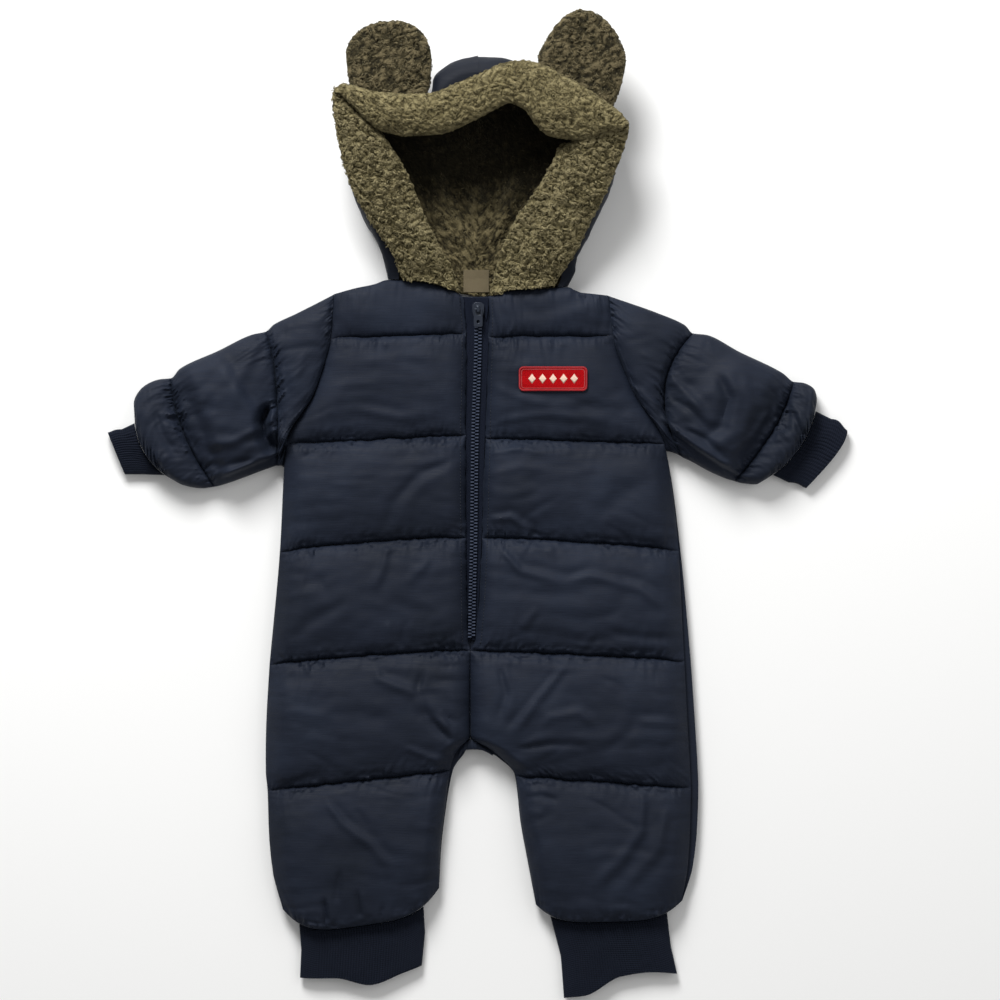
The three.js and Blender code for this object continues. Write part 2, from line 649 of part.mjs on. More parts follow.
// The sleeve's edge at the armhole, one seam outside the body's edge
function armhole(side, share) {
  const { sign, rows } = sides[side];
  const station = share * underarm[side];
  const edge = panelPlan(rows, station, 1);
  const next = panelPlan(rows, station + 0.02, 1);
  const length = Math.hypot(next.x - edge.x, next.y - edge.y);
  const gap = sign * lerp(sleeveGap, 2 * sleeveGap, share ** 3);
  return {
    x: edge.x + (gap * (edge.y - next.y)) / length,
    y: edge.y + (gap * (next.x - edge.x)) / length,
  };
}

function sleevePlan(side, station, share) {
  const rows = sleeveRows[side];
  const at = (value) => {
    const col = (column) => read(rows, 'station', value, column);
    const a = 2 * share * share - 3 * share + 1;
    const b = 4 * share - 4 * share * share;
    const c = 2 * share * share - share;
    return {
      x: a * col('topX') + b * col('midX') + c * col('lowX'),
      y: a * col('topY') + b * col('midY') + c * col('lowY'),
    };
  };
  const point = at(station);
  if (station < 1) {
    const start = at(0);
    const edge = armhole(side, share);
    const left = (1 - station) ** 2;
    point.x += (edge.x - start.x) * left;
    point.y += (edge.y - start.y) * left;
  }
  return point;
}

function sleeve(side) {
  const stations = [0, 0.15, 0.5, 0.85, 1, 1.1, 1.4, 1.7, 1.92, 2, 2.15, 2.6, 3];
  const across = armholeStations.filter((station) => station <= underarm[side])
    .map((station) => station / underarm[side]);
  const ring = ringOf(across, across.slice(1, -1).reverse());
  const section = {
    narrow: 0.84,
    heights(station, share, face, x, y) {
      if (face < 0) {
        const line = station === 1 || station === 2;
        return { outer: line ? stitchDip : 0, inner: 5 };
      }
      const folds = foldHeight(sleeveFolds, x, y) * Math.min(1, padding(sleevePadding, station) / 6);
      const puff = (padding(sleevePadding, station) + folds) * bulge(share, 2.6);
      const slit = seamLevel + 1.2 * bulge(share, 2.6);
      return { outer: seamLevel + 5 * bulge(share, 3) + puff, inner: slit };
    },
  };
  const plan = (station, share) => sleevePlan(side, station, share);
  return flatTube(`sleeve_${side}`, stations, ring, plan, section, navy, 0.55);
}

// Rib tube: ribs stand on the top face, the underside and the inside are plain
function ribTube(name, ribs, plan) {
  const top = Array.from({ length: 2 * ribs + 1 }, (unused, i) => i / (2 * ribs));
  const ring = ringOf(top, [0.96, 0.86, 0.72, 0.5, 0.28, 0.14, 0.04]);
  const section = {
    narrow: 0.95,
    heights(station, share, face) {
      if (face < 0) return { outer: 0, inner: 2.6 };
      const onRib = Math.round(share * 2 * ribs) % 2;
      const body = cuffThickness / 2;
      const height = body + body * bulge(share, 3) - ribHeight * (1 - onRib) * bulge(share, 2);
      return { outer: height, inner: body + (body - 3.6) * bulge(share, 3) };
    },
  };
  return flatTube(name, [0, 1, 2], ring, plan, section, navyRib, 0.85);
}

function wristCuff(side) {
  const rows = wristRows[side];
  const { sign } = sides[side];
  const plan = (station, share) => {
    const start = sleevePlan(side, 3, lerp(0.03, 0.97, share));
    start.x += sign * cuffGap;
    if (station === 0) return start;
    const row = rows[station - 1];
    const bow = row.bow * Math.sin(Math.PI * share ** 0.7);
    return { x: lerp(row.topX, row.lowX, share) + sign * bow, y: lerp(row.topY, row.lowY, share) };
  };
  return ribTube(`wrist_cuff_${side}`, wristRibs, plan);
}

function ankleCuff(side) {
  const plan = (station, share) => {
    const hem = panelPlan(sides[side].rows, 6, lerp(0.9, 0.1, share));
    hem.y -= cuffGap;
    if (station === 0) return hem;
    const row = ankleRows[side][station - 1];
    const rise = read(hemRows[side], 'share', share, 'rise') * (station - 1);
    const bow = row.bow * 4 * share * (1 - share) + rise;
    return { x: lerp(row.outX, row.inX, share), y: lerp(row.outY, row.inY, share) + bow };
  };
  return ribTube(`ankle_cuff_${side}`, ankleRibs, plan);
}

const rimHeight = (y) => read(rimRows, 'y', y, 'height');
const rimScale = (y) => Math.min(1, rimHeight(y) / fullRim);
const rimTop = (y) => rimHeight(y) - rimScale(y);

// One layer of a hood half: rows run from the neck to the crown, columns from centre back to rim
function hoodLayer(side, profile) {
  const rows = hoodRows[side];
  const last = rows.length - 1;
  const centreX = rows[last].x;
  return rows.map((row, index) => {
    const centreY = lerp(hoodCentreFrom, hoodCentreTo, index / last);
    const length = Math.hypot(row.x - centreX, row.y - centreY);
    const dx = (centreX - row.x) / length;
    const dy = (centreY - row.y) / length;
    return profile.map((step) => {
      const crown = 1 + crownReach * smooth((row.y - crownFrom) / 14);
      const inset = step.inset * rimScale(row.y) * crown;
      const way = lerp(length, inset, step.along);
      const x = row.x + dx * way;
      const y = Math.max(row.y + dy * way, neckY(x) + 0.45);
      const height = Math.max(rimHeight(y), fullRim);
      return [x, y, rimScale(y) * (step.share * height + step.add)];
    });
  });
}

function hoodBand(side) {
  const shares = [0, 0.12, 0.35, 0.62, 0.88, 1];
  const outer = [];
  const inner = [];
  bandRows[side].forEach((row) => {
    const under = shares.map((share) => {
      const x = lerp(row.outX, row.inX, share);
      const y = Math.max(lerp(row.outY, row.inY, share), neckY(x) + 0.45);
      const width = Math.abs(row.outX - row.inX);
      const drop = bandDrop * rimScale(y) * smooth((share * width - 31) / 12);
      return [x, y, rimTop(y) + 2 * seamGap - drop];
    });
    inner.push(under);
    outer.push(under.map(([x, y, z], i) => {
      const raise = 1.5 + (bandThickness - 1.5) * bulge(shares[i], 3);
      return [x, y, z + raise];
    }));
  });
  return wall(`hood_band_${side}`, outer, inner, false, pileBrown, 0.95);
}

function hoodBrim() {
  const shares = [0, 0.1, 0.3, 0.55, 0.8, 0.94, 1];
  const inner = brimRows.map((row) => shares.map((share) => {
    const x = lerp(row.outX, row.inX, share);
    const y = lerp(row.outY, row.inY, share);
    return [x, y, rimTop(y) + 2 * seamGap];
  }));
  const outer = inner.map((line) => line.map(([x, y, z], i) => {
    return [x, y, z + 2 + brimRoll * bulge(shares[i], 2.4)];
  }));
  return wall('hood_brim', outer, inner, false, pileBrown, 0.95);
}

function ear(side, face) {
  const shares = [0, 0.07, 0.25, 0.5, 0.75, 0.93, 1];
  const rows = earRows[side];
  const last = rows.length - 1;
  const flat = rows.map((row) => shares.map((share) => {
    const x = lerp(row.fromX, row.toX, share);
    const y = lerp(row.fromY, row.toY, share);
    return [x, y, earLevel + face * seamGap / 2];
  }));
  const domed = flat.map((line, i) => line.map(([x, y, z], k) => {
    const along = Math.cos((Math.PI / 2) * (i / last) ** 2) ** 0.6;
    const stuffing = (earThickness / 2 - 1.2) * bulge(shares[k], 2.2) * along;
    return [x, y, z + face * (1.2 + stuffing)];
  }));
  const name = face > 0 ? 'front' : 'back';
  const colour = face > 0 ? pileDark : navyHood;
  return wall(`ear_${name}_${side}`, domed, flat, false, colour, 0.95);
}

// Height of a panel's outer grid at a point in plan
function heightOn(grid, x, y) {
  const cross = (a, b) => (b[0] - a[0]) * (y - a[1]) - (b[1] - a[1]) * (x - a[0]);
  for (let row = 0; row < grid.length - 1; row += 1) {
    for (let column = 0; column < grid[0].length - 1; column += 1) {
      const a = grid[row][column];
      const b = grid[row][column + 1];
      const c = grid[row + 1][column + 1];
      const d = grid[row + 1][column];
      for (const [p, q, r] of [[a, b, c], [a, c, d]]) {
        const w = [cross(q, r), cross(r, p), cross(p, q)];
        const all = w[0] + w[1] + w[2];
        if (w.every((value) => value * all >= 0)) {
          return (w[0] * p[2] + w[1] * q[2] + w[2] * r[2]) / all;
        }
      }
    }
  }
  return backPadding;
}

function gridOf(mesh, rows, columns) {
  const { array } = mesh.geometry.attributes.position;
  return Array.from({ length: rows }, (unused, row) => Array.from({ length: columns }, (none, column) => {
    const start = 3 * (row * columns + column);
    return [array[start], array[start + 1], array[start + 2]];
  }));
}

function patch(front) {
  const grid = gridOf(front, frontStations.length, frontShares.length);
  const across = [32.4, 33.4, 39, 45.5, 52, 59, 66, 72.5, 79, 84.4, 85.4];
  const down = [108, 107, 103, 98.6, 94, 90.3, 89.3];
  const inner = down.map((y) => across.map((x) => [x, y, heightOn(grid, x, y) + 0.45]));
  const outer = inner.map((line) => line.map(([x, y, z]) => [x, y, z + patchThickness]));
  return wall('patch', outer, inner, false, patchRed, 0.8);
}

const chainX = (y) => read(chainRows, 'y', y, 'x');

function zipTape(side) {
  const stations = [0.05, 0.5, 1, 1.5, 2, 2.5, 3, 3.22, 3.42, 3.6, 3.78, zipEnd];
  const { sign } = sides[side];
  const base = backPadding + panelGap;
  const inner = stations.map((station) => {
    const { x, y } = panelPlan(sides[side].rows, station, 0);
    const middle = chainX(y) + sign * seamGap / 2;
    return [[x - sign * seamGap, y, base], [middle, y, base]];
  });
  const outer = inner.map((line) => line.map(([x, y, z]) => [x, y, z + 1.4]));
  return wall(`zip_tape_${side}`, outer, inner, false, zipGrey, 0.8);
}

function zipChain() {
  const base = backPadding + panelGap + 1.4 + seamGap;
  const ys = [157, 137, 110, 80, 52.5, 25, 0, -27, -52, -77.5, -95, -104];
  const across = [-1, -0.55, 0.55, 1];
  const half = (y) => Math.min(chainHalf, 1.6 + (y + 109) / 30);
  const inner = ys.map((y) => across.map((share) => [chainX(y) + share * half(y), y, base]));
  const outer = inner.map((line) => line.map(([x, y, z], i) => [x, y, z + (i % 3 ? 2 : 1.1)]));
  return wall('zip_chain', outer, inner, false, zipGrey, 0.5);
}

function plate(corners, thickness, z) {
  const shape = new THREE.Shape(corners.map(([x, y]) => new THREE.Vector2(x, y)));
  const geometry = new THREE.ExtrudeGeometry(shape, { depth: thickness, bevelEnabled: false });
  geometry.translate(0, 0, z);
  return geometry;
}

function solidOf(geometry) {
  geometry.deleteAttribute('normal');
  geometry.deleteAttribute('uv');
  const welded = mergeVertices(geometry);
  return new wasm.Manifold(new wasm.Mesh({
    numProp: 3,
    vertProperties: new Float32Array(welded.attributes.position.array),
    triVerts: new Uint32Array(welded.index.array),
  }));
}

function geometryOf(solid) {
  const { vertProperties, triVerts } = solid.getMesh();
  const geometry = new THREE.BufferGeometry();
  geometry.setAttribute('position', new THREE.Float32BufferAttribute(vertProperties, 3));
  geometry.setIndex([...triVerts]);
  return geometry;
}

// Zip slider on the chain: a plate with a bridge that carries the pull tab
const sliderX = 0.5;
const sliderY = 152;
const sliderBase = 13.5;
const sliderPlate = 1.8;
const hingeY = 153;
const hingeZ = sliderBase + sliderPlate + 0.95;

function zipSlider() {
  const corners = [[-3.2, -6.5], [3.2, -6.5], [4.6, 0], [4.6, 4.5], [2.6, 6.5], [-2.6, 6.5],
    [-4.6, 4.5], [-4.6, 0]].map(([x, y]) => [sliderX + x, sliderY + y]);
  const body = solidOf(plate(corners, sliderPlate, sliderBase));
  const arch = new THREE.Shape([[-2.9, -0.4], [-2.9, 1.9], [-1.9, 3], [1.9, 3], [2.9, 1.9],
    [2.9, -0.4], [1.7, -0.4], [1.7, 1.5], [1.2, 1.9], [-1.2, 1.9], [-1.7, 1.5], [-1.7, -0.4]]
    .map(([x, y]) => new THREE.Vector2(x, y)));
  const bridge = new THREE.ExtrudeGeometry(arch, { depth: 2.2, bevelEnabled: false });
  bridge.rotateX(Math.PI / 2);
  bridge.rotateZ(Math.PI / 2);
  bridge.translate(sliderX - 1.1, hingeY, sliderBase + sliderPlate);
  return piece('zip_slider', geometryOf(body.add(solidOf(bridge))), zipGrey, 0.4, 0.7);
}

function pullTab() {
  const outline = [[-3, 0.6], [3, 0.6], [3, -5], [3.5, -6.5], [3.5, -12.8], [2.6, -13.8],
    [-2.6, -13.8], [-3.5, -12.8], [-3.5, -6.5], [-3, -5]];
  const slot = [[-1.9, -0.6], [-1.9, -4.4], [1.9, -4.4], [1.9, -0.6]];
  const eye = Array.from({ length: 10 }, (unused, i) => {
    const turn = (2 * Math.PI * i) / 10;
    return [1.3 * Math.cos(turn), -9.7 + 1.3 * Math.sin(turn)];
  });
  const solid = solidOf(plate(outline, 1.2, -0.6))
    .subtract(solidOf(plate(slot, 3, -1.5)))
    .subtract(solidOf(plate(eye, 3, -1.5)));
  const tab = piece('pull_tab', geometryOf(solid), zipGrey, 0.45, 0.2);
  tab.position.set(sliderX, hingeY, hingeZ);
  return tab;
}

function tapeEnd() {
  const corners = [[-1.5, 158.4], [2.9, 158.4], [3.4, 155], [7, 144], [8.4, 154], [8.4, 162],
    [-1.5, 162]];
  const base = backPadding + panelGap + 1.4 + seamGap;
  return piece('zip_tape_end', plate(corners, 1.2, base), zipGrey, 0.8);
}

function gusset() {
  const base = backPadding + panelGap;
  const fine = [];
  gussetRows.forEach((row, i) => {
    fine.push({ ...row, raise: 0 });
    const next = gussetRows[i + 1];
    if (next) {
      const middle = (column) => (row[column] + next[column]) / 2;
      fine.push({ x: middle('x'), topY: middle('topY'), lowY: middle('lowY'), raise: 0.8 });
    }
  });
  const inner = fine.map((row) => [0, 0.5, 1].map((share) => {
    return [row.x, lerp(row.topY, row.lowY, share), base];
  }));
  const outer = inner.map((line, i) => line.map(([x, y, z], k) => {
    return [x, y, z + 1.6 + fine[i].raise + (k === 1 ? 0.8 : 0)];
  }));
  return wall('crotch_gusset', outer, inner, false, navy, 0.55);
}

// Blank label on the lining at the centre back neck
function neckLabel() {
  const across = [-11, -4, 3, 9];
  const down = [184, 177, 171, 166.5];
  const inner = down.map((y) => across.map((x) => [x, y, 7.9 * rimScale(y) + 0.6]));
  const outer = inner.map((line) => line.map(([x, y, z]) => [x, y, z + 1]));
  return wall('neck_label', outer, inner, false, labelCream, 0.8);
}

function build() {
  const suit = new THREE.Group();
  suit.name = 'baby_snowsuit';
  const body = new THREE.Group();
  body.name = 'body';
  const hood = new THREE.Group();
  hood.name = 'hood';
  const zip = new THREE.Group();
  zip.name = 'zip';
  const fronts = { right: frontPanel('right'), left: frontPanel('left') };
  ['right', 'left'].forEach((side) => {
    body.add(fronts[side], backPanel(side), sleeve(side), wristCuff(side), ankleCuff(side));
    const shell = [hoodLayer(side, shellOuter), hoodLayer(side, shellInner)];
    const lining = [hoodLayer(side, liningInner), hoodLayer(side, liningOuter)];
    hood.add(wall(`hood_shell_${side}`, ...shell, false, navyHood, 0.55));
    hood.add(wall(`hood_lining_${side}`, ...lining, false, pileDark, 0.95));
    hood.add(hoodBand(side), ear(side, 1), ear(side, -1));
    zip.add(zipTape(side));
  });
  body.add(gusset(), patch(fronts.left));
  hood.add(hoodBrim(), neckLabel());
  zip.add(zipChain(), tapeEnd(), zipSlider(), pullTab());
  suit.add(body, hood, zip);
  const box = new THREE.Box3().setFromObject(suit, true);
  const centre = box.getCenter(new THREE.Vector3());
  suit.position.set(-centre.x, -centre.y, -box.min.z);
  return suit;
}

export default build();
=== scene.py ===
import math
import bpy
import bmesh
import numpy as np
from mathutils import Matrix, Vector


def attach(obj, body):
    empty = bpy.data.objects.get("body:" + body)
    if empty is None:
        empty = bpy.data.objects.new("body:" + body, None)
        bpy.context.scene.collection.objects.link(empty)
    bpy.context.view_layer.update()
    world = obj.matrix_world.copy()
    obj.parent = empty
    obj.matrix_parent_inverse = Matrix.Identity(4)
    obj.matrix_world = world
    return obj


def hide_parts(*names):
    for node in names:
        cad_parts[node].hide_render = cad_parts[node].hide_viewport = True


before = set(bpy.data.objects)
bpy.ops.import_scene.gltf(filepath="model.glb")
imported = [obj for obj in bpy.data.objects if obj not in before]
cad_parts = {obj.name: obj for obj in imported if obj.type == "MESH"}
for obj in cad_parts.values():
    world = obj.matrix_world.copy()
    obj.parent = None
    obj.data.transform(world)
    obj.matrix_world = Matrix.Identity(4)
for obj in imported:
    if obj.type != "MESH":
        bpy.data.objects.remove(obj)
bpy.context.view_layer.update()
scene = bpy.context.scene
mm = 0.001
planShift = 0.25      # the solids' centring in plan, in millimetres
print("frame loaded")


# tables: one row per section, columns by name, millimetres
def table(names, *lines):
    return dict(zip(names.split(), np.array(lines, float).T))


def read(rows, key, at, column):
    # reads one column between rows, with no overshoot
    k, f = rows[key], rows[column]
    step = np.diff(k)
    rise = np.diff(f) / step
    slope = np.empty_like(f)
    slope[0], slope[-1] = rise[0], rise[-1]
    total = rise[:-1] + rise[1:]
    slope[1:-1] = np.where(rise[:-1] * rise[1:] > 0,
                           2 * rise[:-1] * rise[1:] / np.where(total == 0, 1, total), 0)
    at = np.clip(np.asarray(at, float), k[0], k[-1])
    i = np.clip(np.searchsorted(k, at, "right") - 1, 0, len(k) - 2)
    h = step[i]
    t = (at - k[i]) / h
    bend = h * (slope[i] * t * (1 - t) ** 2 - slope[i + 1] * t * t * (1 - t))
    return f[i] + (f[i + 1] - f[i]) * t * t * (3 - 2 * t) + bend


def smooth(v):
    v = np.clip(v, 0, 1)
    return v * v * (3 - 2 * v)


def lerp(a, b, t):
    return a + (b - a) * t


# gradient noise on a fixed lattice, one cell per unit, about -1 to 1
turns = np.random.default_rng(31).uniform(0, 2 * math.pi, (256, 256))


def noise(x, y, seed=0):
    x = np.asarray(x, float) + 37.1 * seed
    y = np.asarray(y, float) + 11.7 * seed
    i, j = np.floor(x).astype(int), np.floor(y).astype(int)
    fx, fy = x - i, y - j
    u, v = fx ** 3 * (fx * (fx * 6 - 15) + 10), fy ** 3 * (fy * (fy * 6 - 15) + 10)

    def corner(a, b):
        turn = turns[(i + a) & 255, (j + b) & 255]
        return np.cos(turn) * (fx - a) + np.sin(turn) * (fy - b)
    low = lerp(corner(0, 0), corner(1, 0), u)
    high = lerp(corner(0, 1), corner(1, 1), u)
    return 1.5 * lerp(low, high, v)


def cloudy(x, y, seed=0):
    return noise(x, y, seed) + 0.5 * noise(2.1 * x, 2.1 * y, seed + 3) \
        + 0.25 * noise(4.3 * x, 4.3 * y, seed + 5)


# materials
def linear(hexColor):
    def one(value):
        value = int(value, 16) / 255
        return value / 12.92 if value <= 0.04045 else ((value + 0.055) / 1.055) ** 2.4
    return (one(hexColor[1:3]), one(hexColor[3:5]), one(hexColor[5:7]), 1.0)


def addNode(tree, kind, settings=None, links=None):
    # settings: inputs by name or number, or properties; links: input to an output socket
    made = tree.nodes.new("ShaderNode" + kind)
    for key, value in (settings or {}).items():
        if isinstance(key, int) or key in made.inputs:
            made.inputs[key].default_value = value
        else:
            setattr(made, key, value)
    for key, source in (links or {}).items():
        tree.links.new(source, made.inputs[key])
    return made


def newMaterial(name):
    material = bpy.data.materials.new(name)
    material.use_nodes = True
    tree = material.node_tree
    tree.nodes.clear()
    output = addNode(tree, "OutputMaterial")
    shader = addNode(tree, "BsdfPrincipled")
    tree.links.new(shader.outputs[0], output.inputs[0])
    return material, tree, shader


def finishShader(tree, shader, values, links):
    for key, value in values.items():
        shader.inputs[key].default_value = value
    for key, source in links.items():
        tree.links.new(source, shader.inputs[key])


def setRamp(ramp, *stops):
    elements = ramp.color_ramp.elements
    while len(elements) > 1:
        elements.remove(elements[-1])
    elements[0].position, elements[0].color = stops[0][0], linear(stops[0][1])
    for place, color in stops[1:]:
        elements.new(place).color = linear(color)


quiltLook = {
    "color": "#161c29", "light": "#1c2331", "dark": "#111722",
    "yarnSize": 0.42, "slubLength": 14, "roughness": 0.66, "sheen": 0.05, "specular": 0.17,
}


# pongee: plain-woven polyester, calendered, with slub yarns; reads as a soft satin with faint streaks
def makePongee(name, look):
    material, tree, shader = newMaterial(name)
    place = addNode(tree, "TexCoord").outputs["Object"]
    slub = addNode(tree, "Mapping",
                   {"Scale": (1000 / look["slubLength"], 1000 / 1.1, 1000 / 6)}, {"Vector": place})
    streak = addNode(tree, "TexNoise", {"Scale": 1.0, "Detail": 3.0, "Roughness": 0.6},
                     {"Vector": slub.outputs[0]})
    cloud = addNode(tree, "TexNoise", {"Scale": 18.0, "Detail": 3.0}, {"Vector": place})
    mixed = addNode(tree, "Math", {"operation": "MULTIPLY_ADD", 1: 0.35, 2: 0.0},
                    {0: streak.outputs[0]})
    both = addNode(tree, "Math", {"operation": "MULTIPLY_ADD", 1: 0.65},
                   {0: cloud.outputs[0], 2: mixed.outputs[0]})
    ramp = addNode(tree, "ValToRGB", {}, {0: both.outputs[0]})
    setRamp(ramp, (0.32, look["dark"]), (0.5, look["color"]), (0.68, look["light"]))
    yarn = 1000 / look["yarnSize"] / (2 * math.pi) * 2
    warp = addNode(tree, "TexWave", {"bands_direction": "X", "Scale": yarn, "Distortion": 0.6,
                   "Detail": 1.0}, {"Vector": place})
    weft = addNode(tree, "TexWave", {"bands_direction": "Y", "Scale": yarn, "Distortion": 0.6,
                   "Detail": 1.0}, {"Vector": place})
    weave = addNode(tree, "Math", {"operation": "MULTIPLY"},
                    {0: warp.outputs["Fac"], 1: weft.outputs["Fac"]})
    fine = addNode(tree, "Bump", {"Strength": 0.25, "Distance": 0.00012},
                   {"Height": weave.outputs[0]})
    coarse = addNode(tree, "Bump", {"Strength": 0.35, "Distance": 0.0004},
                     {"Height": streak.outputs[0], "Normal": fine.outputs[0]})
    rough = addNode(tree, "MapRange", {1: 0.3, 2: 0.7, 3: look["roughness"] - 0.06,
                    4: look["roughness"] + 0.08}, {0: streak.outputs[0]})
    finishShader(tree, shader, {"Sheen Weight": look["sheen"], "Sheen Roughness": 0.4,
                                "Sheen Tint": linear("#8fa0bd"), "Specular IOR Level": look["specular"]},
                 {"Base Color": ramp.outputs[0], "Roughness": rough.outputs[0],
                  "Normal": coarse.outputs[0]})
    return material


# the groove colour is painted shade in the hollows between the ribs
ribLook = {"color": "#121826", "groove": "#05070c", "stitchLength": 1.6, "roughness": 0.85}


# two-by-two rib: acrylic knit, rows of small V loops on raised ribs; matte, with painted shade in the grooves
def makeRib(name, look):
    material, tree, shader = newMaterial(name)
    place = addNode(tree, "UVMap").outputs[0]
    parts = addNode(tree, "SeparateXYZ", {}, {0: place})
    leg = addNode(tree, "Math", {"operation": "PINGPONG", 1: 0.0005}, {0: parts.outputs[0]})
    slant = addNode(tree, "Math", {"operation": "MULTIPLY_ADD", 1: 1.2},
                    {0: leg.outputs[0], 2: parts.outputs[1]})
    loop = addNode(tree, "Math", {"operation": "PINGPONG", 1: look["stitchLength"] * mm / 2},
                   {0: slant.outputs[0]})
    raised = addNode(tree, "Math", {"operation": "MULTIPLY", 1: 2000 / look["stitchLength"]},
                     {0: loop.outputs[0]})
    fuzz = addNode(tree, "TexNoise", {"Scale": 900.0, "Detail": 3.0},
                   {"Vector": addNode(tree, "TexCoord").outputs["Object"]})
    height = addNode(tree, "Math", {"operation": "MULTIPLY_ADD", 1: 0.7},
                     {0: fuzz.outputs[0], 2: raised.outputs[0]})
    bump = addNode(tree, "Bump", {"Strength": 0.7, "Distance": 0.0004},
                   {"Height": height.outputs[0]})
    # darker where the rib sinks: painted shade in the grooves
    ramp = addNode(tree, "ValToRGB", {}, {0: raised.outputs[0]})
    setRamp(ramp, (0.0, look["groove"]), (0.55, look["color"]), (1.0, look["color"]))
    finishShader(tree, shader, {"Roughness": look["roughness"], "Sheen Weight": 0.12,
                                "Sheen Tint": linear("#6f7f9a"), "Specular IOR Level": 0.15},
                 {"Base Color": ramp.outputs[0], "Normal": bump.outputs[0]})
    return material


# the two darkest colours are painted shade, deep in the pile at the clefts and roots
pileLook = {
    "cleftShade": "#120f08", "rootShade": "#3b3522", "mid": "#6d6446", "tip": "#8d8362",
    "roughness": 0.9, "clump": 5,
}


# sherpa: polyester pile, curled and steam-set on a knit back; dull tufts, with painted shade darkening the
# clefts between them
def makePile(name, look):
    material, tree, shader = newMaterial(name)
    place = addNode(tree, "TexCoord").outputs["Object"]
    rise = addNode(tree, "Attribute", {"attribute_name": "rise"}).outputs["Fac"]
    patchy = addNode(tree, "TexNoise", {"Scale": 1000 / look["clump"], "Detail": 4.0},
                     {"Vector": place})
    mixed = addNode(tree, "Math", {"operation": "MULTIPLY_ADD", 1: 0.5, 2: -0.25},
                    {0: patchy.outputs[0]})
    height = addNode(tree, "Math", {"operation": "ADD"}, {0: mixed.outputs[0], 1: rise})
    # colour by how far the pile stands out: painted shade in the clefts, lifting to the pile's colour at the
    # tips
    ramp = addNode(tree, "ValToRGB", {}, {0: height.outputs[0]})
    setRamp(ramp, (0.0, look["cleftShade"]), (0.3, look["rootShade"]), (0.62, look["mid"]), (1.0, look["tip"]))
    grain = addNode(tree, "TexNoise", {"Scale": 1500.0, "Detail": 2.0}, {"Vector": place})
    strand = addNode(tree, "TexWave", {"bands_direction": "DIAGONAL", "Scale": 320.0,
                     "Distortion": 9.0, "Detail": 2.0, "Detail Scale": 1.4}, {"Vector": place})
    both = addNode(tree, "Math", {"operation": "MULTIPLY_ADD", 1: 0.5},
                   {0: grain.outputs[0], 2: strand.outputs["Fac"]})
    bump = addNode(tree, "Bump", {"Strength": 0.8, "Distance": 0.0006},
                   {"Height": both.outputs[0]})
    finishShader(tree, shader, {"Roughness": look["roughness"], "Specular IOR Level": 0.1,
                                "Sheen Weight": 0.25, "Sheen Tint": linear("#d8cfa8")},
                 {"Base Color": ramp.outputs[0], "Normal": bump.outputs[0]})
    return material


# a plain finish with fine grain, for threads, tapes, teeth and trims
def makePlain(name, color, roughness, metallic=0.0, grainSize=0.4, grainDepth=0.0002, shade=0.85):
    material, tree, shader = newMaterial(name)
    place = addNode(tree, "TexCoord").outputs["Object"]
    grain = addNode(tree, "TexNoise", {"Scale": 1000 / grainSize, "Detail": 2.0},
                    {"Vector": place})
    base = linear(color)
    darker = tuple(v * shade for v in base[:3]) + (1.0,)
    tint = addNode(tree, "Mix", {"data_type": "RGBA", 6: darker, 7: base},
                   {0: grain.outputs[0]})
    bump = addNode(tree, "Bump", {"Strength": 0.5, "Distance": grainDepth},
                   {"Height": grain.outputs[0]})
    finishShader(tree, shader, {"Roughness": roughness, "Metallic": metallic},
                 {"Base Color": tint.outputs[2], "Normal": bump.outputs[0]})
    return material


def makeWoven(name, color, accent, pitch, roughness, sheen=0.1, specular=0.3):
    # ribbed ribbon or twill: fine raised lines across the tape
    material, tree, shader = newMaterial(name)
    place = addNode(tree, "TexCoord").outputs["Object"]
    turned = addNode(tree, "Mapping", {"Rotation": (0, 0, 0.6)}, {"Vector": place})
    line = addNode(tree, "TexWave", {"bands_direction": "Y", "Scale": 1000 / pitch / math.pi,
                   "Distortion": 1.0, "Detail": 2.0}, {"Vector": turned.outputs[0]})
    tint = addNode(tree, "Mix", {"data_type": "RGBA", 6: linear(accent), 7: linear(color)},
                   {0: line.outputs["Fac"]})
    bump = addNode(tree, "Bump", {"Strength": 0.6, "Distance": 0.0003},
                   {"Height": line.outputs["Fac"]})
    finishShader(tree, shader, {"Roughness": roughness, "Sheen Weight": sheen,
                                "Specular IOR Level": specular},
                 {"Base Color": tint.outputs[2], "Normal": bump.outputs[0]})
    return material


quiltCloth = makePongee("Polyester pongee, calendered", quiltLook)
hoodCloth = makePongee("Polyester pongee, single layer", dict(quiltLook, color="#10141d", light="#151a24"))
ribKnit = makeRib("Rib knit, acrylic", ribLook)
pile = makePile("Sherpa pile, steam-set curls", pileLook)
earLook = dict(pileLook, cleftShade="#090704", rootShade="#19160e", mid="#3a3423", tip="#685e46")
brimLook = dict(pileLook, cleftShade="#19160d", rootShade="#463f2a", mid="#6c6345", tip="#887e5c", clump=4)
brimPile = makePile("Sherpa pile of the brim, combed smooth", brimLook)
earPile = makePile("Sherpa pile of the ears, laid close", earLook)
# the hood's own sherpa made darker inside the hollow: painted shade
shadedInnerLook = dict(pileLook, cleftShade="#040302", rootShade="#1c180f", mid="#453e2a", tip="#6f6549")
shadedInnerPile = makePile("Sherpa pile inside the hood, darker with painted shade", shadedInnerLook)
# twisted filament: round, half dull threads that catch the light along one side
thread = makePlain("Polyester sewing thread, twisted", "#161a24", 0.6, grainSize=0.3)
# moulded and smooth: small bright points run down the chain; the tape under it stays dark and matt
acetal = makePlain("Acetal zip teeth, moulded", "#3e4658", 0.2, grainSize=1.2, grainDepth=0.00004)
tapeWeave = makeWoven("Zip tape, woven polyester", "#171d2c", "#0d111b", 0.5, 0.9, sheen=0.0, specular=0.12)
# a baked coat on die-cast zinc: smooth and half glossy
enamel = makePlain("Zip slider, stove enamel", "#2a303c", 0.32, 0.4, grainSize=0.6, grainDepth=0.00005)
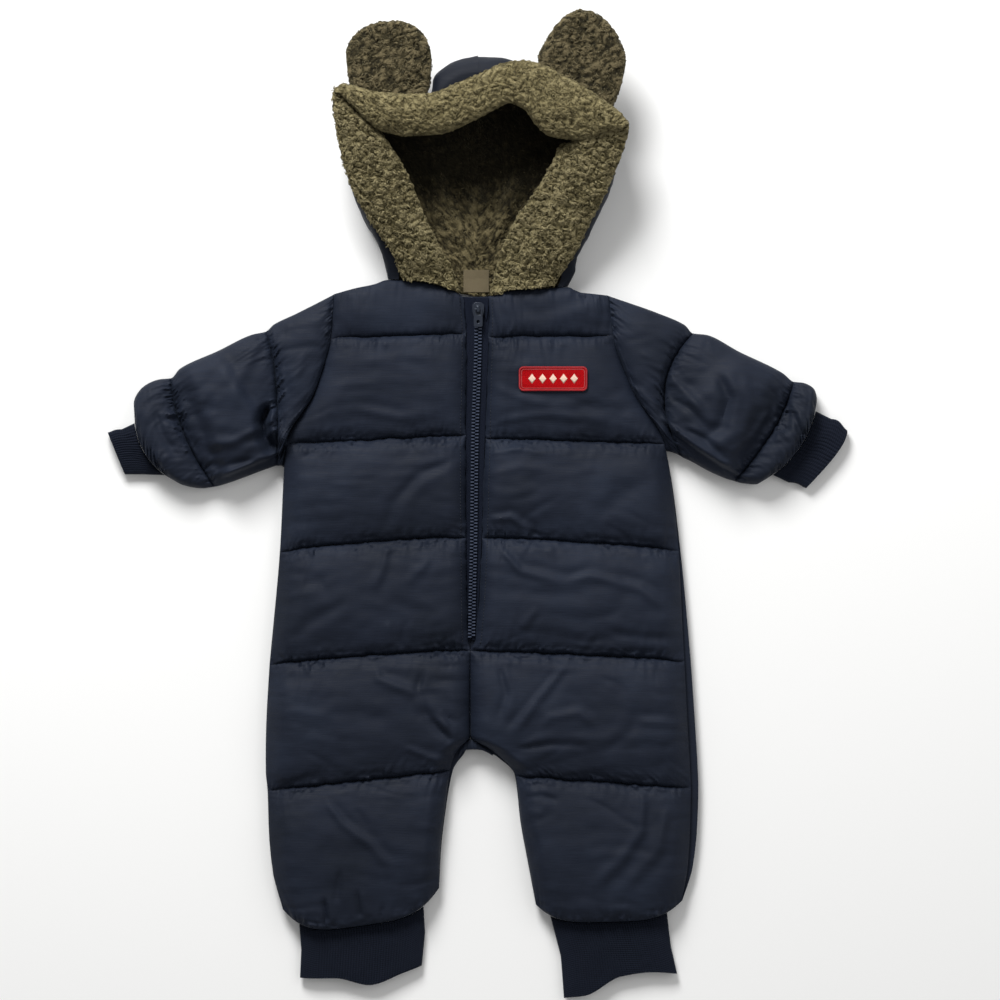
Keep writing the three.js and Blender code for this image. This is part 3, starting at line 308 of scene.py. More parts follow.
# flat red ground; the rayon threads on it are shinier, so edge and motif stand out
patchTwill = makeWoven("Patch ground, woven polyester satin", "#c20810", "#7c060c", 0.45, 0.95,
                       sheen=0.0, specular=0.1)
patchEdge = makePlain("Patch edge, merrowed rayon thread", "#a81a22", 0.5, grainSize=0.35)
patchThread = makePlain("Patch embroidery, rayon thread", "#e6cdb9", 0.45, grainSize=0.3)
patchLine = makePlain("Patch frame line, rayon thread", "#b84a4c", 0.45, grainSize=0.3)
# dense satin tape: even and flat, with a faint rib
labelTape = makeWoven("Neck label, woven satin tape", "#73684f", "#5d533f", 0.4, 0.8)
print("materials made")


# mesh helpers
def makeObject(name, points, faces, material, uv=None, sharpAngle=None, rise=None):
    mesh = bpy.data.meshes.new(name)
    mesh.from_pydata((np.asarray(points) * mm).tolist(), [], faces)
    mesh.materials.append(material)
    if rise is not None:      # how far each point stands out of the pile, 0 to 1
        layer = mesh.attributes.new("rise", "FLOAT", "POINT")
        layer.data.foreach_set("value", np.asarray(rise, np.float32).ravel())
    if uv is not None:
        layer = mesh.uv_layers.new(name="UVMap")
        index = np.empty(len(mesh.loops), int)
        mesh.loops.foreach_get("vertex_index", index)
        layer.data.foreach_set("uv", (np.asarray(uv)[index] * mm).ravel())
    mesh.shade_smooth()
    if sharpAngle is not None:
        mesh.set_sharp_from_angle(angle=math.radians(sharpAngle))
    obj = bpy.data.objects.new(name, mesh)
    scene.collection.objects.link(obj)
    return obj


def faceOut(obj):
    made = bmesh.new()
    made.from_mesh(obj.data)
    bmesh.ops.recalc_face_normals(made, faces=made.faces)
    made.to_mesh(obj.data)
    made.free()


def settle(obj, slotName, *nodes, body="garment"):
    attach(obj, body)
    if nodes:
        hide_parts(*nodes)
    return obj


def wallObject(name, outer, inner, material, closed=False, step=4, sharpAngle=48, rise=None):
    # one closed body: a fine outer grid, and an inner grid with every step-th point
    rows, columns = outer.shape[:2]
    coarse = inner[::step, ::step]
    coarseColumns = coarse.shape[1]
    spans = columns if closed else columns - 1
    near = np.arange(spans)
    far = (near + 1) % columns
    r = np.arange(rows - 1)[:, None] * columns
    faces = np.stack([r + near, r + far, r + columns + far, r + columns + near], -1).reshape(-1, 4).tolist()
    base = rows * columns
    coarseSpans = coarseColumns if closed else coarseColumns - 1
    near = np.arange(coarseSpans)
    far = (near + 1) % coarseColumns
    r = base + np.arange(coarse.shape[0] - 1)[:, None] * coarseColumns
    faces += np.stack([r + near, r + coarseColumns + near, r + coarseColumns + far, r + far],
                      -1).reshape(-1, 4).tolist()

    def strip(fine, few):
        for k in range(len(few) - 1):
            faces.append(fine[k * step:k * step + step + 1] + [few[k + 1], few[k]])
    for row, low in ((0, 0), (rows - 1, coarse.shape[0] - 1)):
        fine = [row * columns + c for c in range(columns)]
        few = [base + low * coarseColumns + c for c in range(coarseColumns)]
        if closed:
            fine, few = fine + fine[:1], few + few[:1]
        strip(fine, few)
    if not closed:
        for column, low in ((0, 0), (columns - 1, coarseColumns - 1)):
            strip([row * columns + column for row in range(rows)],
                  [base + row * coarseColumns + low for row in range(coarse.shape[0])])
    across = np.zeros(outer.shape[:2])
    across[:, 1:] = np.cumsum(np.linalg.norm(np.diff(outer, axis=1), axis=2), axis=1)
    along = np.zeros(outer.shape[:2])
    along[1:] = np.cumsum(np.linalg.norm(np.diff(outer, axis=0), axis=2), axis=0)
    uv = np.concatenate([np.stack([across, along], -1).reshape(-1, 2), np.zeros((coarse.size // 3, 2))])
    points = np.concatenate([outer.reshape(-1, 3), coarse.reshape(-1, 3)]) + (0, planShift, 0)
    if rise is not None:
        low = rise[::step, ::step] if step == 1 else np.full(coarse.shape[:2], 0.5)
        rise = np.concatenate([rise.ravel(), low.ravel()])
    obj = makeObject(name, points, faces, material, uv, sharpAngle, rise)
    faceOut(obj)
    return obj


def denser(count, pull=0.13):
    # shares from 0 to 1, closer together near both ends
    t = np.linspace(0, 1, count + 1)
    return t - pull * np.sin(2 * math.pi * t)


# the suit's plan, as the solids have it
neckRows = table(
    "x y",
    (-115, 164), (-95.5, 169.5), (-81, 172.5), (-70, 176), (-42.5, 174.3), (-18.3, 167.3), (-9.8, 162.8),
    (12.9, 163.4), (23, 167.3), (58.9, 169.6), (70.6, 170.4), (78.4, 166.5), (91.6, 165), (105, 163.4))
frontRows = {
    "right": table(
        "station inX inY outX outY bow reach",
        (0, -11.5, 159.5, -112, 162.5, 0, 0),
        (1, -9, 134, -114.5, 130.5, 0, 0),
        (1.5, -9, 95, -127, 88.5, 0, 0),
        (2, -9.5, 55, -149.5, 48, 0, 0),
        (3, -9, -25.5, -154, -37, 3, 0.5),
        (3.9, -7.7, -105, -161.2, -115.8, 2, 0.5),
        (4, -5.85, -113.5, -162, -124.5, 2, 0.5),
        (4.7, -5.85, -179, -165, -191.5, 0, 0.5),
        (4.85, -17, -192.5, -165, -207, 0, 0.5),
        (5, -21.5, -207, -163.5, -222.5, 0, 0.5),
        (5.35, -25.5, -239, -162.5, -255.5, -1, 0.5),
        (5.7, -29, -268.5, -159.5, -286, -7, 0.5),
        (6, -30, -298.5, -151.5, -315.5, -21, 0.5)),
    "left": table(
        "station inX inY outX outY bow reach",
        (0, 9, 160.5, 102, 162.5, 0, 0),
        (1, 9, 131.5, 105.5, 132, 0, 0),
        (1.5, 7.5, 92.5, 122, 88, 0, 0),
        (2, 6, 52.5, 146, 48, 0, 0),
        (3, 3.5, -25.5, 157, -35.5, 2, 1.5),
        (3.9, -1.5, -105, 161, -113, 1, 4.8),
        (4, -5.55, -113.5, 161.5, -121.5, 1, 5),
        (4.68, -5.55, -179, 165, -187, 0, 6),
        (4.85, 13.5, -192.5, 166, -205, 0, 6),
        (5, 30, -211, 166.5, -220.5, 0, 6),
        (5.35, 34, -247, 166, -253, -1, 5.5),
        (5.7, 40, -279.5, 164, -283, -6, 4),
        (6, 45.5, -311.5, 159.5, -308.5, -15, 0.5)),
}
backInner = {
    "right": table(
        "station inX inY",
        (0, 0.3, 159.5), (2, -1.8, 55), (3, -3, -25.5), (4, -5.85, -113.5), (4.7, -5.85, -182),
        (4.85, -9.5, -192), (5, -19, -206), (5.35, -25, -239), (5.7, -28.5, -268.5), (6, -30, -298.5)),
    "left": table(
        "station inX inY",
        (0, 0.6, 160), (2, -1.5, 52.5), (3, -2.7, -25.5), (4, -5.55, -113.5), (4.68, -5.55, -182),
        (4.85, 11, -193), (5, 29, -210), (5.35, 33.5, -247), (5.7, 39.5, -279.5), (6, 45.5, -311.5)),
}
bothSides = ("right", "left")
signOf = {"right": -1, "left": 1}
underarm = {"right": 2.22, "left": 2.07}
quilt = {
    "padding": [6, 10, 12, 12, 13, 11], "fullness": 0.36, "back": 9, "seam": 3, "seamLevel": 7.2,
    "sideRound": 24, "zipRound": 15, "edgeLift": 5, "stitchDip": 2.2,
    "puckerHeight": 0.95, "puckerReach": 12, "lumpHeight": 1.3, "creaseDepth": 1.2, "lineWander": 0.9,
    "gather": 0.45, "groove": 1.3,
    "frontRows": [16, 52, 64, 68, 76, 72], "frontAcross": 104,
    "backRows": [12, 32, 40, 44, 48, 44], "backAcross": 72,
}


def panelPlan(rows, station, share):
    station, share = np.broadcast_arrays(np.asarray(station, float), np.asarray(share, float))

    def at(value):
        x = lerp(read(rows, "station", value, "inX"), read(rows, "station", value, "outX"), share)
        y = lerp(read(rows, "station", value, "inY"), read(rows, "station", value, "outY"), share)
        return x, y + read(rows, "station", value, "bow") * (1 - (2 * share - 1) ** 4)
    x, y = at(station)
    topX, topY = at(np.zeros_like(station))
    lift = (read(neckRows, "x", topX, "y") - topY) * np.clip(1 - station, 0, 1) ** 2
    return x, y + lift


def backTable(side):
    rows = dict(frontRows[side])
    rows["inX"] = read(backInner[side], "station", rows["station"], "inX")
    rows["inY"] = read(backInner[side], "station", rows["station"], "inY")
    rows["outX"] = rows["outX"] + signOf[side] * rows["reach"]
    return rows


def stationList(perChamber):
    parts = [chamber + denser(count)[:-1] for chamber, count in enumerate(perChamber)]
    return np.append(np.concatenate(parts), len(perChamber))


def lineRow(stations, line):
    return int(np.argmin(np.abs(stations - line)))


def legInside(station):
    return smooth((station - 4.75) / 0.2)


def sideSeam(side, station):
    return smooth((station - underarm[side] + 0.1) / 0.25)


def paddingAt(heights, station, power):
    chamber = np.clip(np.floor(station + 1e-6).astype(int), 0, len(heights) - 1)
    share = np.clip(station - chamber, 0, 1)
    return np.array(heights)[chamber] * np.sin(math.pi * share) ** power


def foldHeight(folds, x, y):
    # soft ridges (lift above 0) and troughs (below 0) along short paths, fading at both ends
    total = np.zeros_like(x)
    for lift, breadth, path, *turned in folds:
        path = np.array(path, float)
        lengths = np.linalg.norm(np.diff(path, axis=0), axis=1)
        whole, before = lengths.sum(), 0.0
        best, where = np.full(x.shape, 1e9), np.zeros(x.shape)
        for a, b, length in zip(path[:-1], path[1:], lengths):
            t = ((x - a[0]) * (b[0] - a[0]) + (y - a[1]) * (b[1] - a[1])) / length ** 2
            t = np.clip(t, 0, 1)
            away = np.hypot(x - lerp(a[0], b[0], t), y - lerp(a[1], b[1], t))
            side = (b[0] - a[0]) * (y - a[1]) - (b[1] - a[1]) * (x - a[0])
            closer = away < np.abs(best)
            best = np.where(closer, np.where(side < 0, -away, away), best)
            where = np.where(closer, (before + t * length) / whole, where)
            before += length
        fade = smooth(where / 0.22 + 0.15) * smooth((1 - where) / 0.22 + 0.15)
        width = breadth * (0.75 + 0.5 * where)
        shape = np.exp(-(best / width) ** 2) - 0.45 * np.exp(-((best - 1.9 * width) / (1.2 * width)) ** 2)
        if turned:     # a step: right of the path the cloth lies lower, behind an overlapping edge
            shape = smooth(0.5 + best / width) + 0.5 * np.exp(-((best / width - 0.9) / 0.9) ** 2)
        total = total + lift * shape * fade
    return total


# main creases of the fronts, read from the photo: lift, width, path
frontFolds = [
    (-1.9, 4.2, [(-13.6, 38), (-46, 24), (-65, 3), (-72, -24)]),
    (1.9, 3.4, [(-69, -29), (-74, -49), (-82, -66)]),
    (1.2, 3.6, [(-37, -42), (-56, -61)]),
    (-1.5, 5, [(-100, -74), (-131, -91), (-147, -107)]),
    (1.3, 2.6, [(-70, -90), (-68, -110)]),
    (-1.0, 2.8, [(-56, -90), (-60, -112)]),
    (-0.9, 4, [(-118, -62), (-136, -60)]),
    (1.0, 3.4, [(-98, 76), (-60, 69), (-24, 74)]),
    (-0.7, 3.2, [(-112, 88), (-70, 92), (-30, 90)]),
    (0.6, 4, [(-96, 112), (-50, 116), (-14, 112)]),
    (-1.2, 4, [(96, 164), (47, 150), (26, 157)]),
    (1.0, 2.6, [(7, 108), (28, 106), (44, 110)]),
    (1.3, 3.2, [(7, 94), (40, 82), (60, 78), (84, 79)]),
    (1.4, 3.2, [(14, 66), (56, 71), (103, 66)]),
    (-0.9, 4, [(66, 84), (96, 76), (122, 76)]),
    (1.1, 2.6, [(7, 40), (30, 44), (56, 41)]),
    (0.8, 3, [(7, 24), (34, 30), (64, 26)]),
    (1.9, 2.8, [(7, -11), (26, -9), (38, -18), (36.5, -33)]),
    (-1.4, 7, [(92, -10), (117, 12), (140, 22)]),
    (1.9, 3, [(16, -31), (33, -51), (52, -56), (70, -60)]),
    (1.7, 3.4, [(66, -60), (87, -55), (127, -65), (148, -82)]),
    (1.3, 3, [(47, -80), (33, -96)]),
    (1.2, 2.6, [(91, -99), (80, -112)]),
    (-1.0, 4, [(98, -96), (128, -104), (152, -104)]),
    (2.0, 3.4, [(-79, -122), (-77, -135), (-47, -147), (-41, -162)]),
    (-2.0, 3, [(-42, -126), (-47, -143), (-38, -168), (-25, -182)]),
    (-2.2, 2.4, [(-37, -164), (-28, -176), (-19, -185)]),
    (1.2, 2.2, [(-30, -160), (-22, -174)]),
    (-1.2, 5, [(-120, -165), (-92, -161), (-70, -170)]),
    (1.3, 2.6, [(-58, -188), (-38, -196), (-24, -200)]),
    (2.1, 3, [(-119, -229), (-105, -248), (-84, -264), (-67, -283)]),
    (-0.9, 3, [(-96, -236), (-84, -252)]),
    (-1.5, 2.6, [(-107, -284), (-110, -310)]),
    (-2.0, 2.2, [(-94, -300), (-91, -322)]),
    (-2.2, 2.2, [(-120, -306), (-117, -326)]),
    (-1.2, 2.0, [(-74, -312), (-76, -328)]),
    (-1.7, 3, [(17, -126), (22, -147), (16, -166)]),
    (1.9, 3.2, [(71, -122), (45, -152), (28, -178)]),
    (-1.4, 3, [(62, -128), (38, -156), (20, -176)]),
    (1.7, 3, [(47, -176), (57, -165), (80, -161), (92, -173)]),
    (-1.7, 2.8, [(28, -190), (57, -186), (90, -187)]),
    (0.9, 3, [(126, -168), (162, -171)]),
    (-1.2, 4, [(100, -190), (120, -176), (124, -160)]),
    (2.1, 4, [(129, -221), (127, -254), (110, -278), (89, -297)]),
    (1.5, 4, [(148, -234), (141, -268), (112, -300)]),
    (1.3, 2.2, [(34, -218), (48, -214), (60, -218)]),
    (-1.3, 2.4, [(35, -228), (50, -226), (64, -231)]),
    (1.0, 2.2, [(37, -238), (52, -240)]),
]


def billow(x, y, seed):
    # rounded bumps with narrow valleys between them
    return 2.2 * np.sqrt(noise(x, y, seed) ** 2 + 0.006) - 0.75


def stitchedWrinkles(across, away, seed, height, reach):
    # short wrinkles that start at a stitched line and run out square to it
    wander = across + 0.35 * away * noise(across / 31, away / 45, seed + 1)
    wave = billow(wander / 7.5, away / 40, seed) + 0.5 * billow(wander / 3.9, away / 22, seed + 2)
    uneven = smooth(0.5 + 0.9 * noise(across / 27, away * 0, seed + 4))
    fade = np.exp(-(away / (reach * (0.35 + 1.1 * uneven))) ** 1.2) * smooth(away / 1.2 + 0.3)
    return height * wave * (0.35 + 0.9 * uneven) * fade


def gathers(across, away, seed):
    # uneven scallops right at a stitched line, about 6 and 3 mm apart
    wave = billow(across / 5.6, away / 12, seed) + 0.7 * billow(across / 2.7, away / 7, seed + 1)
    uneven = 0.4 + smooth(0.5 + noise(across / 34, 0 * away, seed + 2))
    return wave * uneven * np.exp(-(away / 4.5) ** 1.2)


def crumple(x, y, seed, depth):
    # a few shallow valleys, long soft ripples and lumps of a thin shell over wadding
    bent = y + 12 * noise(x / 70, y / 60, seed)
    valley = np.exp(-(noise(x / 66, bent / 24, seed + 2) / 0.13) ** 2)
    mask = smooth(noise(x / 60, y / 46, seed + 6) * 2.2 - 0.1)
    ripple = noise(x / 75, bent / 9.5, seed + 8) * smooth(noise(x / 80, y / 46, seed + 7) * 1.6 + 0.6)
    fine = noise(x / 30, bent / 4.8, seed + 9) * smooth(noise(x / 41, y / 33, seed + 5) * 1.6 + 0.3)
    return depth * (-0.75 * valley * mask + 0.75 * ripple + 0.16 * fine)


def arcLengths(x, y):
    along = np.zeros_like(x)
    along[1:] = np.cumsum(np.hypot(np.diff(x, axis=0), np.diff(y, axis=0)), axis=0)
    across = np.zeros_like(x)
    across[:, 1:] = np.cumsum(np.hypot(np.diff(x, axis=1), np.diff(y, axis=1)), axis=1)
    return along, across


def wrinkled(stations, x, y, toInner, toOuter, seed, size):
    # small relief of a panel, square to its lines and edges, and the gathers at its lines
    along, across = arcLengths(x, y)
    relief, gather, groove = np.zeros_like(x), np.zeros_like(x), np.zeros_like(x)
    for line in range(0, int(stations[-1]) + 1):
        row = lineRow(stations, line)
        away = along - along[row]
        if 0 < line < stations[-1]:
            groove += size["groove"] * np.exp(-(away / 1.2) ** 2)
        for side, extra in ((1, 0), (-1, 20)):
            here = away * side > 0
            part = stitchedWrinkles(across, np.abs(away), seed + 31 * line + extra,
                                    size["puckerHeight"], size["puckerReach"])
            relief += np.where(here, part, 0)
            gather += np.where(here, gathers(across, np.abs(away), seed + 17 * line + extra), 0)
    relief += 0.8 * stitchedWrinkles(along, toInner, seed + 401, size["puckerHeight"], 8)
    relief += 0.8 * stitchedWrinkles(along, toOuter, seed + 503, size["puckerHeight"], 8)
    relief += size["lumpHeight"] * cloudy(x / 42, y / 30, seed + 77) * 0.7
    relief += crumple(x, y, seed + 91, size["creaseDepth"])
    return relief, gather * size["gather"], groove


def sunkAt(side, station, toOuter, toInner):
    return np.maximum(sideSeam(side, station) * (1 - smooth(toOuter / 14)),
                      legInside(station) * (1 - smooth(toInner / 14)))


def wanderLines(stations, x, y, shares, seed, sign):
    # stitched lines that waver a little, and an uneven edge along the zip
    along, across = arcLengths(x, y)
    for line in range(1, 6):
        row = lineRow(stations, line)
        away = along - along[row]
        level = across * 0 + line
        waver = noise(across / 17, level, seed) + 0.5 * noise(across / 6, level, seed + 1)
        y = y + quilt["lineWander"] * waver * np.exp(-(away / 7) ** 2)
    toInner = shares[None, :] * np.abs(x[:, -1] - x[:, 0])[:, None]
    ragged = billow(along / 9, along * 0, seed + 5) + 0.6 * billow(along / 4, along * 0, seed + 6)
    x = x - sign * 0.55 * ragged * np.exp(-toInner / 3) * smooth((4 - stations[:, None]) / 0.3)
    return x, y


frontPieces = {}


def frontPanel(side, seed):
    stations = stationList(quilt["frontRows"])
    shares = denser(quilt["frontAcross"], 0.07)
    rows = frontRows[side]
    s = stations[:, None] + 0 * shares[None, :]
    x, y = panelPlan(rows, s, shares[None, :])
    x, y = wanderLines(stations, x, y, shares, seed, signOf[side])
    width = np.abs(x[:, -1] - x[:, 0])[:, None]
    toOuter, toInner = (1 - shares) * width, shares * width
    low = sunkAt(side, s, toOuter, toInner)
    base = lerp(quilt["back"], quilt["seamLevel"], low) + 0.55
    half = math.pi / 2
    edges = (np.sin(half * np.clip(toOuter / quilt["sideRound"], 0, 1)) ** 0.7
             * np.sin(half * np.clip(toInner / quilt["zipRound"], 0, 1)) ** 0.6)
    puff = paddingAt(quilt["padding"], s, quilt["fullness"])
    full = np.clip(puff / 4.5, 0, 1)
    relief, gather, groove = wrinkled(stations, x, y, toInner, toOuter, seed, quilt)
    relief = relief + foldHeight(frontFolds, x, y)
    top = base + quilt["seam"] - 0.8 * low + puff * (1 + gather) * edges
    top = top + relief * full ** 0.6 * edges ** 0.4 - groove * edges
    top = np.maximum(top, base + 1.2)
    outer = np.stack([x, y, top], -1)
    obj = wallObject(f"quilted_front_{side}", outer, np.stack([x, y, base], -1), quiltCloth)
    settle(obj, "navy_quilt", f"front_{side}")
    frontPieces[side] = (stations, outer)


def backPanel(side, seed):
    stations = stationList(quilt["backRows"])
    shares = denser(quilt["backAcross"], 0.07)
    rows = backTable(side)
    s = stations[:, None] + 0 * shares[None, :]
    x, y = panelPlan(rows, s, shares[None, :])
    width = np.abs(x[:, -1] - x[:, 0])[:, None]
    toOuter, toInner = (1 - shares) * width, shares * width
    reach = read(rows, "station", s, "reach")
    inner, _ = panelPlan(frontRows[side], s, np.zeros_like(s))
    shown = np.abs(x[:, :1] - inner) * legInside(s)
    low = sunkAt(side, s, np.maximum(0, toOuter - reach), np.maximum(0, toInner - shown))
    lift = quilt["edgeLift"] * np.maximum(sideSeam(side, s) * (1 - smooth(toOuter / 11)),
                                          legInside(s) * (1 - smooth(toInner / 11)))
    along, across = arcLengths(x, y)
    dip = np.zeros_like(x)
    for line in range(1, 6):
        row = lineRow(stations, line)
        away = np.abs(along - along[row])
        dip = np.maximum(dip, quilt["stitchDip"] * np.exp(-(away / 3.2) ** 2))
        dip += 0.5 * np.abs(stitchedWrinkles(across, away, seed + 17 * line, 0.8, 8)) * np.exp(-away / 20)
    dip += 0.25 * np.abs(cloudy(x / 30, y / 22, seed)) * smooth(np.minimum(toOuter, toInner) / 14)
    outer = np.stack([x, y, np.maximum(lift, dip)], -1)
    top = lerp(quilt["back"], quilt["seamLevel"], low)
    obj = wallObject(f"quilted_back_{side}", outer, np.stack([x, y, top], -1), quiltCloth)
    settle(obj, "navy_quilt", f"back_{side}")


for index, side in enumerate(bothSides):
    frontPanel(side, 10 + 300 * index)
    backPanel(side, 700 + 100 * index)
print("body panels made")


# sleeves
sleeveRows = {
    "right": table(
        "station topX topY midX midY lowX lowY",
        (0, -112, 162.5, -123, 96, -150, 33), (0.5, -142, 149, -141, 94, -153, 32),
        (0.86, -159, 141.4, -152, 92.7, -155.6, 31), (1, -165.4, 135.8, -157, 92, -157, 31),
        (1.14, -175.5, 133.6, -168, 87.5, -166, 28), (1.5, -203, 120.6, -195, 75, -183, 21.6),
        (1.87, -232.5, 106.8, -221.5, 62, -197.5, 16.6), (2, -239.4, 99.4, -230, 58, -205.5, 14.6),
        (2.16, -248, 98.6, -237, 55.6, -215, 13.4), (2.5, -262, 92, -249, 51.6, -229, 15.6),
        (2.75, -268.4, 80, -256, 47.4, -237, 19.4), (3, -267.6, 66, -260, 41, -242.5, 22.8)),
    "left": table(
        "station topX topY midX midY lowX lowY",
        (0, 102, 162.5, 116, 100, 146, 46), (0.5, 140, 150.2, 132, 95, 153, 42),
        (0.86, 162, 140.8, 142, 91.4, 158, 39), (1, 168.4, 134.4, 146, 90, 160, 37.6),
        (1.14, 178, 133.4, 157, 87, 166.5, 34.6), (1.5, 205, 119.8, 187, 75, 181, 26.6),
        (1.87, 238, 103.6, 220, 62, 194, 21), (2, 247, 96.6, 230, 58, 200.5, 19),
        (2.16, 254, 95.9, 236, 55.6, 207.5, 17.2), (2.5, 263.4, 90.2, 244, 52.4, 217, 16.4),
        (2.75, 265, 83, 249, 49, 223.4, 19.4), (3, 264, 75.6, 252, 46, 228.4, 22.6)),
}
sleeveSize = {"padding": [11, 14, 12], "fullness": 0.36, "gap": 0.15, "narrow": 0.84, "seamLevel": 7.2,
              "puckerHeight": 1.4, "puckerReach": 12, "lumpHeight": 1.5, "creaseDepth": 1.5,
              "gather": 0.5, "groove": 1.6, "rows": [44, 60, 48], "across": 104, "under": 40}
sleeveFolds = [      # lift, width, path, and turn where the cloth folds over itself
    (-4.2, 4.6, [(187, 104), (195, 84), (190, 62), (173, 50)]),
    (1.6, 4, [(206, 104), (212, 80), (206, 58), (196, 48)]),
    (2.2, 3.2, [(146, 102), (160, 90), (176, 72)]),
    (-2.0, 2.8, [(150, 84), (164, 76), (180, 58)]),
    (6.5, 2.6, [(141, 70), (154, 56), (170, 44), (190, 31), (204, 24)], "turn"),
    (-2.2, 2.6, [(160, 60), (176, 52), (192, 38)]),
    (1.8, 3, [(228, 76), (214, 54), (196, 40)]),
    (-2.4, 3, [(240, 84), (243, 68), (238, 56)]),
    (-3.0, 2.4, [(246, 74), (250, 60), (254, 52)]),
    (1.0, 4, [(126, 120), (140, 112), (148, 108)]),
    (1.4, 3, [(120, 92), (134, 82), (143, 76)]),
    (-17.0, 4.4, [(-163, 79), (-168, 66), (-166, 53), (-157, 40)]),
    (6.0, 2.6, [(-200, 21), (-178, 30), (-163, 36), (-150, 44)], "turn"),
    (1.4, 4.4, [(-172, 122), (-186, 98), (-190, 76)]),
    (2.0, 3.2, [(-166, 62), (-190, 50), (-214, 46)]),
    (-2.4, 3.2, [(-172, 36), (-198, 31), (-216, 30)]),
    (-1.6, 4.4, [(-206, 88), (-214, 68), (-210, 50)]),
    (1.9, 3, [(-240, 76), (-234, 56), (-220, 38)]),
    (-2.0, 3.4, [(-252, 76), (-246, 56), (-232, 34)]),
    (-1.2, 5, [(-196, 112), (-210, 96), (-226, 84)]),
    (1.2, 4, [(-134, 120), (-142, 100), (-140, 84)]),
]


def armhole(side, share):
    rows, sign = frontRows[side], signOf[side]
    station = share * underarm[side]
    x, y = panelPlan(rows, station, 1.0)
    nextX, nextY = panelPlan(rows, station + 0.02, 1.0)
    length = np.hypot(nextX - x, nextY - y)
    gap = sign * sleeveSize["gap"] * lerp(1, 2, share ** 3)
    return x + gap * (y - nextY) / length, y + gap * (nextX - x) / length


def sleevePlan(side, station, share):
    station, share = np.broadcast_arrays(np.asarray(station, float), np.asarray(share, float))
    rows = sleeveRows[side]
    a, b, c = 2 * share ** 2 - 3 * share + 1, 4 * share - 4 * share ** 2, 2 * share ** 2 - share

    def at(value, axis):
        col = [read(rows, "station", value, word + axis) for word in ("top", "mid", "low")]
        return a * col[0] + b * col[1] + c * col[2]
    start = np.zeros_like(station)
    edgeX, edgeY = armhole(side, share)
    left = np.clip(1 - station, 0, 1) ** 2
    x = at(station, "X") + (edgeX - at(start, "X")) * left
    y = at(station, "Y") + (edgeY - at(start, "Y")) * left
    return x, y


def bulge(share, power):
    return np.clip(1 - np.abs(2 * share - 1) ** power, 0, 1) ** (1 / power)


def ringShares(topCount, lowCount):
    # shares round a flat tube: over the top face, then back along the underside
    top = denser(topCount, 0.1)
    low = denser(lowCount, 0.1)[::-1][1:-1]
    return np.concatenate([top, low]), np.concatenate([np.ones(topCount + 1), -np.ones(lowCount - 1)])


def sleeve(side, seed):
    stations = stationList(sleeveSize["rows"])
    shares, face = ringShares(sleeveSize["across"], sleeveSize["under"])
    s = stations[:, None] + 0 * shares[None, :]
    share = shares[None, :] + 0 * s
    x, y = sleevePlan(side, s, share)
    within = 0.5 + (share - 0.5) * sleeveSize["narrow"]
    inX, inY = sleevePlan(side, s, within)
    last = sleeveSize["across"]
    length = np.hypot(x[:, last] - x[:, 0], y[:, last] - y[:, 0])[:, None]
    toTop, toLow = share * length, (1 - share) * length
    size = sleeveSize
    puff = paddingAt(size["padding"], s, size["fullness"])
    relief, gather, groove = wrinkled(stations, x, y, toTop, toLow, seed, size)
    folds = foldHeight(sleeveFolds, x, y)
    round3, round26 = bulge(share, 3), bulge(share, 2.6)
    top = size["seamLevel"] + 5 * round3 + puff * (1 + gather) * round26
    top = top + (relief * np.clip(puff / 4.5, 0, 1) ** 0.6 + folds) * round26 ** 0.7 - groove * round3
    top = np.maximum(top, size["seamLevel"] + 1.5 * round3)
    along, across = arcLengths(x, y)
    under = np.zeros_like(x)
    for line in (1, 2):
        row = lineRow(stations, line)
        away = np.abs(along - along[row])
        under = np.maximum(under, quilt["stitchDip"] * np.exp(-(away / 3.2) ** 2))
    under += 0.4 * np.abs(cloudy(x / 26, y / 20, seed)) * bulge(share, 2)
    under += (size["seamLevel"] - 1) * (1 - bulge(share, 3.4)) ** 1.5
    outer = np.stack([x, y, np.where(face > 0, top, under)], -1)
    inner = np.stack([inX, inY, np.where(face > 0, size["seamLevel"] + 1.2 * round26, 5)], -1)
    obj = wallObject(f"quilted_sleeve_{side}", outer, inner, quiltCloth, closed=True)
    settle(obj, "navy_quilt", f"sleeve_{side}")


for index, side in enumerate(bothSides):
    sleeve(side, 900 + 150 * index)
print("sleeves made")


# rib cuffs
wristRows = {
    "right": table("station topX topY lowX lowY bow", (0, 0, 0, 0, 0, 0), (1, -278, 59.6, -262, 24.3, 0),
                   (2, -289, 57, -275.6, 24.3, 0)),
    "left": table("station topX topY lowX lowY bow", (0, 0, 0, 0, 0, 0), (1, 276.6, 67.6, 243, 18, 0),
                  (2, 288.62, 59, 256.8, 13.5, 5)),
}
ankleRows = {
    "right": table("station outX outY inX inY bow", (0, 0, 0, 0, 0, 0),
                   (1, -137.8, -347.5, -41, -334, -3), (2, -138.8, -369, -43.5, -359.5, -7)),
    "left": table("station outX outY inX inY bow", (0, 0, 0, 0, 0, 0),
                  (1, 151, -344, 65, -352, 0), (2, 156, -366, 67.5, -385, 6)),
}
# how the ankle hems wander, from the outer edge to the inner one
hemRows = {
    "right": table("share rise", (0, 0), (0.3, 2.6), (0.6, -4.4), (0.85, -0.6), (1, 0)),
    "left": table("share rise", (0, 0), (0.3, 1.6), (0.5, 1.4), (0.78, -5.4), (1, 0)),
}
cuffSize = {"thickness": 8.6, "ribHeight": 0.8, "gap": 0.8,
            "wristCut": (92, 30), "ankleCut": (215, 52), "wristRibs": 20, "ankleRibs": 46}


